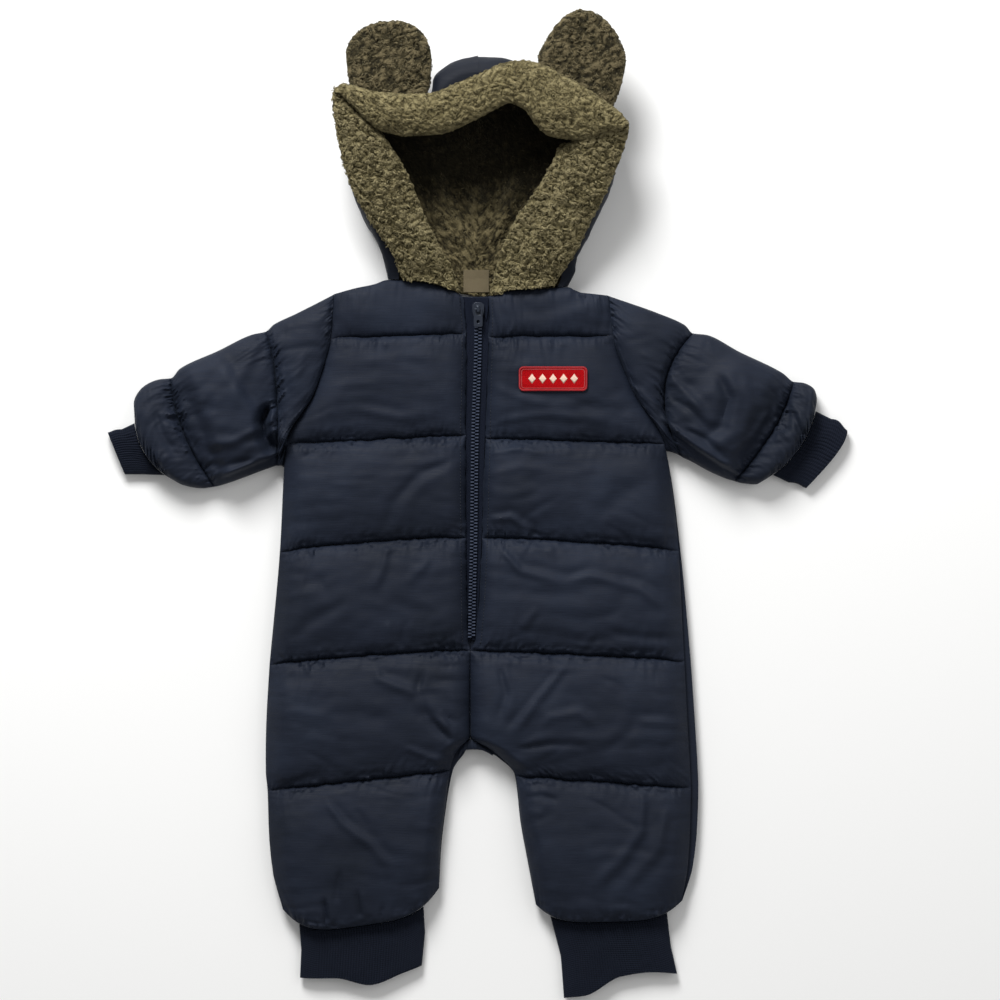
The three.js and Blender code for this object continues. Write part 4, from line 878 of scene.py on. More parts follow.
def cuffPlan(start, rows, station, share, sign=0, hem=None):
    # from the cloth's end through the middle row to the far end
    startX, startY = start(share)
    col = {word: read(rows, "station", np.maximum(station, 1), word) for word in rows}
    if sign:
        x = lerp(col["topX"], col["lowX"], share) + sign * col["bow"] * np.sin(math.pi * share ** 0.7)
        y = lerp(col["topY"], col["lowY"], share)
    else:
        x = lerp(col["outX"], col["inX"], share)
        y = lerp(col["outY"], col["inY"], share) + col["bow"] * 4 * share * (1 - share)
        y = y + read(hem, "share", share, "rise") * np.clip(station - 1, 0, 1)
    t = np.clip(station, 0, 1)
    return lerp(startX, x, t), lerp(startY, y, t)


def ribCuff(name, plan, ribs, nodeName, seed):
    stations = np.linspace(0, 2, 25)
    topCount = ribs * 4
    shares = np.concatenate([np.linspace(0, 1, topCount + 1), np.linspace(1, 0, topCount + 1)[1:-1]])
    face = np.concatenate([np.ones(topCount + 1), -np.ones(topCount - 1)])
    s = stations[:, None] + 0 * shares[None, :]
    share = shares[None, :] + 0 * s
    x, y = plan(s, share)
    inX, inY = plan(s, 0.5 + (share - 0.5) * 0.95)
    rib = np.abs(np.sin(math.pi * share * ribs)) ** 0.7
    wave = 0.35 * noise(share * 6, s * 1.6, seed) + 0.2 * noise(share * 17, s * 3, seed + 2)
    body = cuffSize["thickness"] / 2
    flare = 1 + 0.06 * s
    top = body + body * bulge(share, 3) * flare - cuffSize["ribHeight"] * (1 - rib) * bulge(share, 2) + wave
    low = body - body * bulge(share, 3) + cuffSize["ribHeight"] * (1 - rib) * bulge(share, 2)
    outer = np.stack([x, y, np.where(face > 0, top, low)], -1)
    innerTop = body + (body - 3.4) * bulge(share, 3)
    innerLow = body - (body - 2.6) * bulge(share, 3)
    inner = np.stack([inX, inY, np.where(face > 0, innerTop, innerLow)], -1)
    obj = wallObject(name, outer, inner, ribKnit, closed=True, sharpAngle=80)
    settle(obj, "navy_rib", nodeName)


for side in bothSides:
    sign = signOf[side]

    def wristStart(share):
        x, y = sleevePlan(side, 3.0, lerp(0.03, 0.97, share))
        return x + sign * cuffSize["gap"], y

    def ankleStart(share):
        x, y = panelPlan(frontRows[side], 6.0, lerp(0.9, 0.1, share))
        return x, y - cuffSize["gap"]

    def wristPlan(s, t):
        return cuffPlan(wristStart, wristRows[side], s, t, sign)

    def anklePlan(s, t):
        return cuffPlan(ankleStart, ankleRows[side], s, t, 0, hemRows[side])

    ribCuff(f"rib_wrist_{side}", wristPlan, cuffSize["wristRibs"], f"wrist_cuff_{side}",
            40)
    ribCuff(f"rib_ankle_{side}", anklePlan, cuffSize["ankleRibs"], f"ankle_cuff_{side}",
            60)
print("cuffs made")


# hood
hoodRows = {
    "right": table(
        "row x y",
        (0, -70, 176.6), (1, -72.5, 187.5), (2, -77, 203), (3, -87, 220.5), (4, -94, 236.5),
        (5, -101, 255.5), (6, -105, 277.5), (7, -105.5, 297), (8, -101, 311), (9, -84, 314.5),
        (10, -60.5, 315.5), (11, -36.5, 319.5), (12, -33, 333), (13, -15, 345.5), (14, 0.5, 348.5)),
    "left": table(
        "row x y",
        (0, 70.5, 171), (1, 75.5, 181.5), (2, 77, 193), (3, 88, 212), (4, 98, 233), (5, 105.5, 254),
        (6, 110.5, 273.5), (7, 112, 291.5), (8, 105, 304), (9, 88, 313), (10, 64.5, 326.5),
        (11, 49, 335), (12, 34.5, 342), (13, 16, 347.6), (14, 0.5, 348.5)),
}
rimRows = table("y height", (160, 13), (176, 15), (192, 23), (216, 33), (245, 44), (280, 54), (310, 60),
                (335, 60), (352, 57))
shellOuter = table(
    "step along inset share add",
    (0, 0, 0, 0, 0), (1, 0.5, 0, 0, 0), (2, 1, 12, 0, 0), (3, 1, 4, 0, 2.5), (4, 1, 0, 0.22, 1),
    (5, 1, 0, 0.7, 0), (6, 1, 3, 0.9, 0), (7, 1, 9, 1, -1), (8, 1, 14, 1, -1))
shellInner = table(
    "step along inset share add",
    (0, 0, 0, 0, 4.5), (1, 0.5, 0, 0, 4.5), (2, 1, 12.5, 0, 4.5), (3, 1, 8, 0, 6), (4, 1, 5, 0.22, 3.5),
    (5, 1, 5, 0.7, -1), (6, 1, 7, 0.9, -3.2), (7, 1, 10, 1, -5), (8, 1, 14, 1, -4.8))
liningOuter = table(
    "step along inset share add",
    (0, 0, 0, 0, 4.9), (1, 0.5, 0, 0, 4.9), (2, 1, 12.9, 0, 4.9), (3, 1, 8.5, 0, 6.5),
    (4, 1, 5.5, 0.22, 3.9), (5, 1, 5.5, 0.7, -1.3), (6, 1, 7.4, 0.9, -3.7), (7, 1, 10.3, 1, -5.5),
    (8, 1, 14, 1, -5.3))
liningInner = table(
    "step along inset share add",
    (0, 0, 0, 0, 7.9), (1, 0.5, 0, 0, 7.9), (2, 1, 14, 0, 7.9), (3, 1, 11, 0, 9.2), (4, 1, 8.5, 0.22, 6),
    (5, 1, 8.5, 0.7, -3), (6, 1, 10, 0.9, -6.2), (7, 1, 12, 1, -8.5), (8, 1, 14.5, 1, -8.3))
hoodSize = {"centreFrom": 163, "centreTo": 298, "fullRim": 24, "crownFrom": 321, "crownReach": 0.5}


def rimHeight(y):
    return read(rimRows, "y", y, "height")


def rimScale(y):
    return np.minimum(1, rimHeight(y) / hoodSize["fullRim"])


def rimTop(y):
    return rimHeight(y) - rimScale(y)


def hoodLayer(side, profile, rowCount, stepCount, steps=None):
    rows = hoodRows[side]
    r = np.linspace(0, 14, rowCount + 1)[:, None]
    k = (np.linspace(0, 8, stepCount + 1) if steps is None else steps)[None, :]
    edgeX, edgeY = read(rows, "row", r, "x"), read(rows, "row", r, "y")
    centreX = rows["x"][-1]
    centreY = lerp(hoodSize["centreFrom"], hoodSize["centreTo"], r / 14)
    length = np.hypot(edgeX - centreX, edgeY - centreY)
    dx, dy = (centreX - edgeX) / length, (centreY - edgeY) / length
    crown = 1 + hoodSize["crownReach"] * smooth((edgeY - hoodSize["crownFrom"]) / 14)
    inset = read(profile, "step", k, "inset") * rimScale(edgeY) * crown
    way = lerp(length, inset, read(profile, "step", k, "along"))
    x = edgeX + dx * way
    y = np.maximum(edgeY + dy * way, read(neckRows, "x", x, "y") + 0.45)
    height = np.maximum(rimHeight(y), hoodSize["fullRim"])
    z = rimScale(y) * (read(profile, "step", k, "share") * height + read(profile, "step", k, "add"))
    return np.stack([x, y, z], -1)


def evenSteps(side, profile, count):
    # steps of one length from rim to centre, so that the tufts on them aren't drawn out
    middle = hoodLayer(side, profile, 2, 160)[1]
    way = np.append(0, np.cumsum(np.linalg.norm(np.diff(middle, axis=0), axis=1)))
    return np.interp(np.linspace(0, way[-1], count + 1), way, np.linspace(0, 8, 161))


def gridNormals(points):
    a = np.gradient(points, axis=0)
    b = np.gradient(points, axis=1)
    n = np.cross(a, b)
    return n / np.maximum(np.linalg.norm(n, axis=2, keepdims=True), 1e-9)


for index, side in enumerate(bothSides):
    outer = hoodLayer(side, shellOuter, 96, 64)
    n = gridNormals(outer)
    n *= np.sign(n[:, :4, 2].mean()) * -1      # away from the hollow
    free = smooth((outer[..., 2] - 1.5) / 8)
    relief = 1.1 * cloudy(outer[..., 0] / 30 + outer[..., 2] / 25, outer[..., 1] / 24, 61 + index)
    relief += crumple(outer[..., 0] + outer[..., 2], outer[..., 1], 71 + index, 1.0)
    step = np.linspace(0, 8, 65)[None, :]
    outer = outer + n * (relief * free * smooth((7 - step) / 1.5))[..., None]
    outer[..., 2] = np.maximum(outer[..., 2], 0)
    obj = wallObject(f"hood_shell_cloth_{side}", outer, hoodLayer(side, shellInner, 96, 64), hoodCloth)
    settle(obj, "navy_hood", f"hood_shell_{side}")
print("hood shell made")


def tubeFaces(count, rings, sides):
    # quads round each of many tubes, and a cap at both ends
    base = np.arange(count)[:, None, None] * rings * sides
    ring = np.arange(rings - 1)[None, :, None] * sides
    around = np.arange(sides)[None, None, :]
    after = (around + 1) % sides
    quads = np.stack([base + ring + around, base + ring + after, base + ring + sides + after,
                      base + ring + sides + around], -1).reshape(-1, 4)
    caps = np.concatenate([base[:, 0, 0, None] + np.arange(sides)[None, ::-1],
                           base[:, 0, 0, None] + (rings - 1) * sides + np.arange(sides)[None, :]])
    return quads.tolist() + caps.tolist()


# curls of pile: short bent tubes scattered over a surface, on its tufts rather than in the clefts
curlSize = {"bend": 1.7, "thick": 0.5, "sweep": 2.4, "sides": 3, "rings": 4, "coherence": 8}


def scatterCurls(name, outer, rise, material, slotName, count, seed, size=1.0, up=1.0):
    rng = np.random.default_rng(seed)
    a, b = outer[:-1, :-1], outer[:-1, 1:]
    c, d = outer[1:, 1:], outer[1:, :-1]
    weight = np.linalg.norm(np.cross(c - a, d - b), axis=2) * smooth(rise[:-1, :-1] * 2 - 0.4)
    chosen = rng.choice(weight.size, count, p=(weight / weight.sum()).ravel())
    i, j = np.unravel_index(chosen, weight.shape)
    u, v = rng.random((2, count, 1))
    place = lerp(lerp(a[i, j], b[i, j], u), lerp(d[i, j], c[i, j], u), v)
    n = np.cross(c[i, j] - a[i, j], d[i, j] - b[i, j])
    n /= np.maximum(np.linalg.norm(n, axis=1, keepdims=True), 1e-9)
    n *= np.where(n[:, 2:] * up < 0, -1, 1)
    reach = curlSize["coherence"]
    turn = 5 * noise(place[:, 0] / reach, (place[:, 1] + place[:, 2]) / reach, seed % 50)
    turn += rng.normal(0, 0.45, count)
    aim = np.stack([np.cos(turn), np.sin(turn), 0.1 + 0 * turn], -1)
    e1 = aim - n * (aim * n).sum(1, keepdims=True)
    e1 /= np.linalg.norm(e1, axis=1, keepdims=True)
    side = np.cross(n, e1)
    tilt = rng.uniform(0.05, 0.7, (count, 1))
    e2 = n * np.sin(tilt) + side * np.cos(tilt)
    e3 = np.cross(e1, e2)
    rings, sides = curlSize["rings"], curlSize["sides"]
    bend = curlSize["bend"] * size * rng.uniform(0.6, 1.3, (count, 1, 1, 1))
    thick = curlSize["thick"] * size * rng.uniform(0.75, 1.2, (count, 1, 1, 1))
    phi = rng.uniform(-0.3, 0.9, (count, 1, 1, 1)) \
        + np.linspace(0, 1, rings)[None, :, None, None] * curlSize["sweep"]
    alpha = np.arange(sides)[None, None, :, None] * 2 * math.pi / sides
    taper = np.sin(np.linspace(0.35, math.pi - 0.35, rings))[None, :, None, None] ** 0.6
    r = thick * taper
    out = bend + r * np.cos(alpha)
    lift = rng.uniform(-0.5, 0.4, (count, 1))
    points = (place + n * lift)[:, None, None, :] + out * np.cos(phi) * e1[:, None, None, :] \
        + out * np.sin(phi) * e2[:, None, None, :] + r * np.sin(alpha) * e3[:, None, None, :]
    points -= (0.5 * bend * (e1 + e2)[:, None, None, :])
    points = points.reshape(-1, 3) + (0, planShift, 0)
    # each curl takes the colour of the pile under it, painted shade of the clefts included, with some random
    # spread
    toneAndShade = np.repeat(np.clip(rise[i, j] + rng.normal(0.05, 0.16, count), 0.1, 1.1), rings * sides)
    obj = makeObject(name, points, tubeFaces(count, rings, sides), material, rise=toneAndShade)
    return settle(obj, slotName)


def pileRelief(points, seed, height=1.0):
    # tufts of 4 to 6 mm with clefts between them, on slow lumps; also returns how far each point stands out
    x, y = points[..., 0] + 0.6 * points[..., 2], points[..., 1] + 0.4 * points[..., 2]
    bentX, bentY = x + 2.5 * noise(x / 8, y / 8, seed + 4), y + 2.5 * noise(x / 8, y / 8, seed + 6)
    broad = np.abs(noise(bentX / 6.2, bentY / 4.8, seed))
    small = np.abs(noise(bentX / 3.0, bentY / 2.6, seed + 1))
    rise = np.clip(0.05 + 1.5 * broad + 0.9 * small, 0, 1)
    return height * (2.4 * rise - 1.2 + 0.8 * cloudy(x / 15, y / 13, seed + 2)), rise


liningFolds = [      # lift, width, path
    (4, 7, [(-1, 258), (0, 222), (-2, 196)]),
    (5, 7, [(32, 258), (22, 226), (8, 200)]),
    (4, 7, [(-34, 262), (-26, 230), (-12, 200)]),
]
liningSize = {"tuft": 0.8, "curls": 1600, "curlSize": 0.7, "cut": (150, 230, 26000)}
for index, side in enumerate(bothSides):
    inside = hoodLayer(side, liningInner, 96, 80, evenSteps(side, liningInner, 80))
    n = gridNormals(inside)
    n *= np.sign(n[:, :4, 2].mean())
    ridge = foldHeight(liningFolds, inside[..., 0], inside[..., 1])
    flat = smooth((14 - inside[..., 2]) / 4)
    relief, rise = pileRelief(inside, 81 + index, liningSize["tuft"])
    rise = rise * lerp(1.1, 0.3, smooth((inside[..., 1] - 205) / 60))     # fewer curls and darker colour towards the crown: painted shade under the brim
    inside = inside + n * (relief + ridge * flat)[..., None]
    obj = wallObject(f"hood_lining_pile_{side}", inside, hoodLayer(side, liningOuter, 96, 80), shadedInnerPile,
                     rise=rise)
    settle(obj, "pile_dark", f"hood_lining_{side}")
    curls = scatterCurls(f"hood_lining_curls_{side}", inside, rise, shadedInnerPile, "pile_dark",
                         liningSize["curls"], 500 + index, size=liningSize["curlSize"])
print("hood lining made")

bandRows = {
    "right": table(
        "row outX outY inX inY",
        (0, -59, 176.8, -12.8, 166.6), (1, -65.3, 194.6, -20.6, 186.3), (2, -77, 211.8, -32, 206),
        (3, -89.6, 231, -41.5, 226), (4, -100, 253, -52, 252.5), (5, -106.2, 275.5, -66, 275.5),
        (6, -110, 298, -84.5, 292.5), (7, -111.6, 310, -98.5, 306), (8, -111.6, 317.6, -107.4, 316.6)),
    "left": table(
        "row outX outY inX inY",
        (0, 60, 171.5, 9.6, 165), (1, 66.5, 182, 14.4, 184), (2, 76, 195.5, 21.5, 206),
        (3, 87, 218.5, 31.5, 225.5), (4, 97, 237, 42.5, 240), (5, 105, 254.5, 52.5, 256),
        (6, 110.5, 268, 60.5, 268.5), (7, 114, 278.5, 72, 278.5), (8, 116, 286, 90, 284.8),
        (9, 116.6, 289.8, 104, 289.6)),
}
bandSize = {"thickness": 5.5, "drop": 5, "curls": 3400, "tuck": 9}
brimRows = table(
    "row outX outY inX inY",
    (0, -110.6, 320, -106.4, 318.4), (1, -104, 326, -98.5, 312.5), (2, -93, 323.4, -87, 301),
    (3, -77, 319.4, -73, 289.5), (4, -55, 317.9, -54, 285.8), (5, -36, 318.8, -30, 287),
    (6, -17, 325.8, -8, 295), (7, 3, 334.2, 10, 304), (8, 21, 341.8, 25, 311), (9, 36, 344, 35.5, 307),
    (10, 51, 340.4, 45, 294.5), (11, 66, 332.6, 55, 286.3), (12, 84, 322.6, 70, 283.4),
    (13, 99, 312, 86, 285.4), (14, 110, 304, 101, 290.8), (15, 116.4, 295.5, 112.5, 291.6))
brimSize = {"roll": 9, "curls": 4400, "overlap": 3.0}

for index, side in enumerate(bothSides):
    rows = bandRows[side]
    last = rows["row"][-1]
    r = np.linspace(0, last + 1, 181)[:, None]
    share = denser(60, 0.05)[None, :]
    col = {word: read(rows, "row", r, word) for word in rows}
    tuck = np.clip(r - last, 0, 1)          # the end runs on under the brim
    under = bandSize["tuck"] * smooth((r - last + 3.2) / 1.5) / np.abs(col["outX"] - col["inX"])
    wide = share * (1 + under)
    x = lerp(col["outX"], col["inX"], wide) + 1.0 * tuck
    y = lerp(col["outY"], col["inY"], wide) + 5.5 * tuck
    y = np.maximum(y, read(neckRows, "x", x, "y") + 0.45)
    width = np.abs(col["outX"] - col["inX"])
    drop = bandSize["drop"] * rimScale(y) * smooth((wide * width - 31) / 12)
    drop = drop + 6 * smooth((wide - 1) * width / 5) + 2.5 * tuck
    under = rimTop(y) + 0.6 - drop
    raised = 1.5 + (bandSize["thickness"] - 1.5) * bulge(share, 3)
    points = np.stack([x, y, under + raised], -1)
    relief, rise = pileRelief(points, 91 + index, 0.9)
    points[..., 2] += relief * bulge(share, 4)
    obj = wallObject(f"hood_band_pile_{side}", points, np.stack([x, y, under], -1), pile, sharpAngle=70,
                     rise=rise)
    settle(obj, "pile_brown", f"hood_band_{side}")
    scatterCurls(f"hood_band_curls_{side}", points, rise, pile, "pile_brown", bandSize["curls"], 600 + index)

r = np.linspace(0, 15, 221)[:, None]
share = denser(44, 0.06)[None, :]
col = {word: read(brimRows, "row", r, word) for word in brimRows}
ends = np.maximum(smooth((3.2 - r) / 1.4), smooth((r - 11.8) / 1.4))     # the brim closes on the bands
reach = np.hypot(col["inX"] - col["outX"], col["inY"] - col["outY"])
share = share * (1 + brimSize["overlap"] * ends / reach)
x, y = lerp(col["outX"], col["inX"], share), lerp(col["outY"], col["inY"], share)
share = denser(44, 0.06)[None, :]
under = rimTop(y) + 0.6
points = np.stack([x, y, under + 2 + brimSize["roll"] * bulge(share, 2.4)], -1)
relief, rise = pileRelief(points, 97, 0.8)
points[..., 2] += relief * bulge(share, 4)
brim = wallObject("hood_brim_pile", points, np.stack([x, y, under], -1), brimPile, sharpAngle=70, rise=rise)
settle(brim, "pile_brown", "hood_brim")
scatterCurls("hood_brim_curls", points, rise, brimPile, "pile_brown", brimSize["curls"], 620, size=0.85)
print("bands and brim made")

earRows = {
    "right": table(
        "row fromX fromY toX toY",
        (0, -96, 313.3, -38.5, 319.6), (1, -100.2, 333.5, -36.5, 329), (2, -101.8, 349.8, -35.5, 346),
        (3, -97.9, 360.8, -39.4, 361.5), (4, -88.5, 370, -48, 371), (5, -76, 374.8, -58, 375.4)),
    "left": table(
        "row fromX fromY toX toY",
        (0, 50, 335, 103.5, 305.3), (1, 47.2, 347.5, 111.9, 327.2), (2, 53.4, 360.8, 115, 345.2),
        (3, 62, 373.2, 109.6, 361.5), (4, 70.6, 381, 99.5, 375.6), (5, 79, 384.5, 89.3, 382.8)),
}
earSize = {"thickness": 15, "level": 47, "curls": 1150}

for index, side in enumerate(bothSides):
    rows = earRows[side]
    r = np.linspace(0, 5, 49)[:, None]
    share = denser(48, 0.08)[None, :]
    col = {word: read(rows, "row", r, word) for word in rows}
    x, y = lerp(col["fromX"], col["toX"], share), lerp(col["fromY"], col["toY"], share)
    along = np.cos(math.pi / 2 * np.clip(r / 5, 0, 1) ** 2.4) ** 0.5
    stuffing = (earSize["thickness"] / 2 - 1.2) * bulge(share, 2.2) * along
    dimple = 2.2 * np.exp(-(((share - 0.5) / 0.22) ** 2 + ((r / 5 - 0.5) / 0.25) ** 2))
    faces = []
    for face in (1, -1):
        points = np.stack([x, y, earSize["level"] + face * (1.0 + stuffing - dimple)], -1)
        relief, rise = pileRelief(points, 101 + index + face, 0.8)
        points[..., 2] += face * relief * bulge(share, 3) * along
        faces.append((points, rise))
    obj = wallObject(f"ear_pile_{side}", faces[0][0], faces[1][0], earPile, step=1, sharpAngle=80,
                     rise=faces[0][1])
    settle(obj, "pile_dark", f"ear_front_{side}", f"ear_back_{side}")
    for name, up, (points, rise) in zip(("front", "back"), (1, -1), faces):
        scatterCurls(f"ear_curls_{name}_{side}", points, rise, earPile, "pile_dark", earSize["curls"],
                     640 + index, size=0.85, up=up)
print("ears made")


# zip
chainRows = table("y x", (-109, -4.7), (-77.5, -4.2), (-27, -3), (52.5, -2), (137, 0.5), (165, 0.5))
zipSize = {"toothPitch": 2.57, "tooth": (3.1, 1.75, 2.0), "nose": 0.62, "rowOffset": 1.5,
           "tapeBase": 9.55, "tapeThickness": 1.4, "cut": (15, 280, 2500)}


def tubeAlong(paths, radius, sides=6):
    # short round threads or wires: one tube per path, all paths with the same number of points
    paths = np.asarray(paths, float)
    count, length = paths.shape[:2]
    way = np.gradient(paths, axis=1)
    way /= np.maximum(np.linalg.norm(way, axis=2, keepdims=True), 1e-9)
    up = np.zeros_like(way) + (0.02, 0.03, 1.0)
    sideways = np.cross(way, up)
    sideways /= np.maximum(np.linalg.norm(sideways, axis=2, keepdims=True), 1e-9)
    up = np.cross(sideways, way)
    angle = np.arange(sides)[None, None, :, None] * 2 * math.pi / sides
    thick = np.ones(length)
    thick[0] = thick[-1] = 0.55
    r = radius * thick[None, :, None, None]
    points = paths[:, :, None] + r * (np.cos(angle) * sideways[:, :, None] + np.sin(angle) * up[:, :, None])
    return points.reshape(-1, 3) + (0, planShift, 0), tubeFaces(count, length, sides)


chainBase = zipSize["tapeBase"] + zipSize["tapeThickness"]


def roundedBlocks(places, size, nose):
    # one moulded tooth per place: a low block with bevelled edges and a narrower nose towards the other row
    section = [(-0.5, 0, 0.86), (-0.5, 0.62, 0.86), (-0.36, 1, 0.6), (0.3, 1, 0.5),
               (0.5, 0.7, nose), (0.5, 0, nose)]
    points, faces = [], []
    for k, (x, y, z, sign) in enumerate(places):
        for face in (-1, 1):
            for a, up, half in section:
                points.append((x - sign * a * size[0], y + face * half * size[1] / 2, z + up * size[2]))
        base = k * 12
        faces += [(base + i, base + (i + 1) % 6, base + 6 + (i + 1) % 6, base + 6 + i) for i in range(6)]
        faces += [tuple(base + i for i in range(6))[::-1], tuple(base + 6 + i for i in range(6))]
    return np.array(points) + (0, planShift, 0), faces


ys = np.arange(-102.5, 143, zipSize["toothPitch"])
places = []
for sign in (-1, 1):
    for y in ys + (zipSize["toothPitch"] / 2 if sign > 0 else 0):
        x = float(read(chainRows, "y", y, "x")) + sign * zipSize["rowOffset"]
        places.append((x, y, chainBase + 0.1, sign))
teeth = makeObject("zip_teeth", *roundedBlocks(places, zipSize["tooth"], zipSize["nose"]), acetal,
                   sharpAngle=35)
faceOut(teeth)
settle(teeth, "zip_tape", "zip_chain")
for side in bothSides:
    sign = signOf[side]
    stations = np.linspace(0.03, 3.9, 121)
    edge, y = panelPlan(frontRows[side], stations, 0.0)
    middle = read(chainRows, "y", y, "x") + sign * 0.15
    share = np.linspace(0, 1, 9)[None, :]
    x = lerp((edge - sign * 0.3)[:, None], middle[:, None], share)
    lineY = y[:, None] + 0 * share
    z = zipSize["tapeBase"] + zipSize["tapeThickness"] + 0.12 * np.cos(2 * math.pi * share) + 0 * x
    z = z + 0.2 * noise(x / 6, lineY / 9, 5)
    tape = wallObject(f"zip_tape_weave_{side}", np.stack([x, lineY, z], -1),
                      np.stack([x, lineY, zipSize["tapeBase"] + 0 * x], -1), tapeWeave)
    settle(tape, "zip_tape", f"zip_tape_{side}")


# stitches: short threads sunk at both ends, along a line of points
def stitches(line, pitch, radius, rise):
    line = np.asarray(line, float)
    gaps = np.linalg.norm(np.diff(line, axis=0), axis=1)
    reach = np.concatenate([[0], np.cumsum(gaps)])
    starts = np.arange(pitch * 0.3, reach[-1] - pitch, pitch)
    share = np.array([0, 0.25, 0.5, 0.75]) * pitch
    at = starts[:, None] + share[None, :]
    path = np.stack([np.interp(at, reach, line[:, k]) for k in range(3)], -1)
    path[..., 2] += rise * np.array([-0.8, 0.6, 0.6, -0.8]) + radius * 0.5
    return path


quiltStitch = {"pitch": 3.1, "radius": 0.22, "rise": 0.28}
zipStitch = {"pitch": 2.6, "radius": 0.2, "rise": 0.25}
paths = []
for side in bothSides:
    stations, outer = frontPieces[side]
    for line in range(1, 6):
        row = lineRow(stations, line)
        paths.append(stitches(outer[row, 3:-2], **quiltStitch))
    inner = outer[:, 5]
    top = lineRow(stations, 3.95)
    paths.append(stitches(inner[2:top], **zipStitch))
threads = makeObject("quilting_threads", *tubeAlong(np.concatenate(paths), quiltStitch["radius"], 4), thread)
settle(threads, "navy_quilt")
print("zip and stitches made")


# slider and tab keep the solids' form, with rounded edges
def finishNode(nodeName, name, material, slotName, body="garment", bevel=0.25, segments=2):
    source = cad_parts[nodeName]
    mesh = source.data.copy()
    mesh.transform(source.matrix_world)
    obj = bpy.data.objects.new(name, mesh)
    scene.collection.objects.link(obj)
    mesh.materials.clear()
    mesh.materials.append(material)
    made = bmesh.new()
    made.from_mesh(mesh)
    bmesh.ops.remove_doubles(made, verts=made.verts, dist=1e-6)
    bmesh.ops.dissolve_limit(made, angle_limit=math.radians(2), verts=made.verts, edges=made.edges)
    made.to_mesh(mesh)
    made.free()
    if bevel:
        edge = obj.modifiers.new("Rounded edges", "BEVEL")
        edge.width, edge.segments, edge.limit_method = bevel * mm, segments, "ANGLE"
    mesh.shade_smooth()
    mesh.set_sharp_from_angle(angle=math.radians(40))
    return settle(obj, slotName, nodeName, body=body)


finishNode("zip_slider", "slider_enamel", enamel, "zip_metal")
finishNode("pull_tab", "tab_enamel", enamel, "zip_metal", body="pull_tab_body")
finishNode("zip_tape_end", "folded_tape_end", tapeWeave, "zip_tape", bevel=0.3)
label = finishNode("neck_label", "neck_label_satin", labelTape, "label_cream", bevel=0.2)
gusset = finishNode("crotch_gusset", "gusset_cloth", quiltCloth, "navy_quilt", bevel=0.4)
print("slider, tab and label made")


# patch
patchSize = {"fromX": 32.4, "toX": 85.4, "lowY": 89.3, "highY": 108, "corner": 3.2, "thickness": 1.3,
             "lift": 0.45, "threadSink": 0.25, "cut": (53, 18.7)}


def surfaceAt(x, y):
    # height of the left front's own grid at points in plan
    flat = frontPieces["left"][1].reshape(-1, 3)
    near = flat[(flat[:, 0] > patchSize["fromX"] - 8) & (flat[:, 0] < patchSize["toX"] + 8)
                & (flat[:, 1] > patchSize["lowY"] - 8) & (flat[:, 1] < patchSize["highY"] + 8)]
    points = np.stack([np.ravel(x), np.ravel(y)], -1)
    away = ((points[:, None, :] - near[None, :, :2]) ** 2).sum(2)
    weight = np.exp(-away / 4.5)
    return ((weight * near[:, 2]).sum(1) / weight.sum(1)).reshape(np.shape(x))


def patchTop(x, y):
    return surfaceAt(x, y) + patchSize["lift"] + patchSize["thickness"] - patchSize["threadSink"]


def patchOutline(inset, count=72):
    # rounded rectangle in plan
    w = (patchSize["toX"] - patchSize["fromX"]) / 2 - inset
    h = (patchSize["highY"] - patchSize["lowY"]) / 2 - inset
    r = max(patchSize["corner"] - inset * 0.6, 0.8)
    cornerX, cornerY = w - r, h - r
    corners = []
    for k, (a, b) in enumerate(((1, 1), (-1, 1), (-1, -1), (1, -1))):
        cx, cy = a * cornerX, b * cornerY
        part = np.linspace(k * math.pi / 2, (k + 1) * math.pi / 2, count // 4)
        corners.append(np.stack([cx + r * np.cos(part), cy + r * np.sin(part)], -1))
    middle = ((patchSize["toX"] + patchSize["fromX"]) / 2, (patchSize["highY"] + patchSize["lowY"]) / 2)
    return np.concatenate(corners) + middle


def denseLoop(points, spacing):
    points = np.concatenate([points, points[:1]])
    reach = np.concatenate([[0], np.cumsum(np.linalg.norm(np.diff(points, axis=0), axis=1))])
    at = np.arange(0, reach[-1], spacing)
    return np.stack([np.interp(at, reach, points[:, k]) for k in range(2)], -1)


outline = denseLoop(patchOutline(0.3), 0.9)
centre = outline.mean(0)
plan = np.stack([centre + (outline - centre) * share for share in np.linspace(1, 0.04, 12)])
ground = surfaceAt(plan[..., 0], plan[..., 1]) + patchSize["lift"]
top = np.concatenate([plan, patchTop(plan[..., 0], plan[..., 1])[..., None]], -1)
low = np.concatenate([plan, ground[..., None]], -1)
count = len(outline)
faces = []
for k in range(11):
    a = k * count + np.arange(count)
    b = k * count + (np.arange(count) + 1) % count
    faces += np.stack([a, a + count, b + count, b], -1).tolist()
    lowA, lowB = a + 12 * count, b + 12 * count
    faces += np.stack([lowA, lowB, lowB + count, lowA + count], -1).tolist()
faces.append(list(range(11 * count, 12 * count))[::-1])
faces.append(list(range(23 * count, 24 * count)))
a, b = np.arange(count), (np.arange(count) + 1) % count
faces += np.stack([a, b, b + 12 * count, a + 12 * count], -1).tolist()
points = np.concatenate([top.reshape(-1, 3), low.reshape(-1, 3)]) + (0, planShift, 0)
patch = makeObject("patch_ground", points, faces, patchTwill, sharpAngle=50)
faceOut(patch)
settle(patch, "patch_red", "patch")


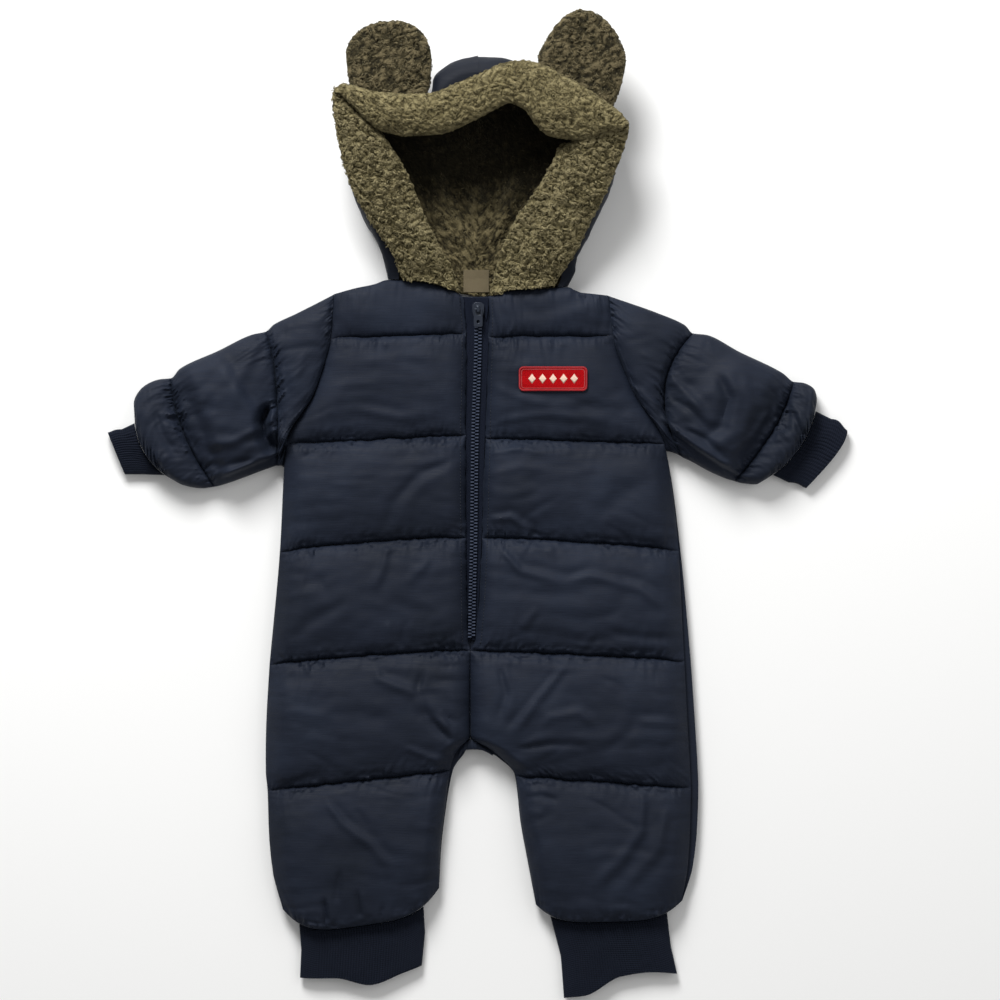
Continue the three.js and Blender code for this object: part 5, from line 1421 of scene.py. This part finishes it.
def satinBand(name, line, width, spacing, radius, rise, material, slotName):
    # satin stitch: threads laid side by side across a line
    points = denseLoop(line, spacing)
    way = np.roll(points, -1, 0) - np.roll(points, 1, 0)
    way /= np.linalg.norm(way, axis=1, keepdims=True)
    across = np.stack([-way[:, 1], way[:, 0]], -1)
    shares = np.linspace(-0.5, 0.5, 5)
    plan = points[:, None] + across[:, None] * width * shares[None, :, None]
    height = patchTop(plan[..., 0], plan[..., 1]) + rise * np.cos(math.pi * shares)[None, :]
    path = np.concatenate([plan, height[..., None]], -1)
    obj = makeObject(name, *tubeAlong(path, radius, 5), material)
    return settle(obj, slotName)


edging = satinBand("patch_merrowed_edge", patchOutline(0.5), 1.5, 0.5, 0.28, 0.35, patchEdge, "patch_red")
border = satinBand("patch_border", patchOutline(2.0), 0.7, 0.45, 0.2, 0.12, patchLine, "patch_red")

# a plain row of small lozenges where the real patch has its lettering
lozenge = {"count": 5, "spacing": 8.2, "halfWidth": 2.7, "halfHeight": 4.0, "threadSpacing": 0.38,
           "crown": 0.22}
middleX = (patchSize["toX"] + patchSize["fromX"]) / 2
middleY = (patchSize["highY"] + patchSize["lowY"]) / 2
paths = []
for k in range(lozenge["count"]):
    offset = (k - (lozenge["count"] - 1) / 2) * lozenge["spacing"]
    for dx in np.arange(-lozenge["halfWidth"], lozenge["halfWidth"] + 0.01, lozenge["threadSpacing"]):
        tall = lozenge["halfHeight"] * (1 - abs(dx) / (lozenge["halfWidth"] + 0.2))
        shares = np.linspace(-1, 1, 5)
        px, py = np.full(5, middleX + offset + dx), middleY + tall * shares
        height = patchTop(px, py) + lozenge["crown"] * (1 - shares ** 2)
        paths.append(np.stack([px, py, height], -1))
motif = makeObject("patch_lozenges", *tubeAlong(np.stack(paths), 0.24, 5), patchThread)
settle(motif, "patch_red")
print("patch made")


# floor, light and camera
stageLook = {"floor": "#f4f4f3", "world": "#ffffff", "worldStrength": 0.36}
floorMaterial = makePlain("Studio floor, matt paper", stageLook["floor"], 0.9, grainSize=1.0,
                          grainDepth=0.00005, shade=0.99)
bpy.ops.mesh.primitive_plane_add(size=12, location=(0, 0, -0.0004))
floor = bpy.context.object
floor.name = "studio_floor"
floor.data.materials.append(floorMaterial)

world = bpy.data.worlds.new("Studio light")
scene.world = world
world.use_nodes = True
world.node_tree.nodes["Background"].inputs[0].default_value = linear(stageLook["world"])
world.node_tree.nodes["Background"].inputs[1].default_value = stageLook["worldStrength"]


def areaLight(name, place, aim, size, power, color="#ffffff"):
    data = bpy.data.lights.new(name, "AREA")
    data.size, data.energy, data.color = size, power, linear(color)[:3]
    light = bpy.data.objects.new(name, data)
    light.location = place
    light.rotation_euler = (Vector(aim) - Vector(place)).to_track_quat("-Z", "Y").to_euler()
    scene.collection.objects.link(light)


areaLight("Key light above the hood", (-0.55, 1.75, 1.35), (0, 0, 0), 0.9, 66)
areaLight("Fill light at the side", (1.5, 0.6, 1.7), (0, 0, 0), 1.6, 9)

scene.view_settings.view_transform = "Standard"
viewSize = {"width": 0.780, "centreX": 0.01755, "centreY": 0.0045, "distance": 5.0, "level": 0.015}
camera = bpy.data.objects.new("Camera", bpy.data.cameras.new("Camera"))
camera.data.sensor_width = 36
camera.data.lens = 36 * (viewSize["distance"] - viewSize["level"]) / viewSize["width"]
camera.location = (viewSize["centreX"], viewSize["centreY"], viewSize["distance"])
camera.data.clip_end = 50
scene.collection.objects.link(camera)
scene.camera = camera
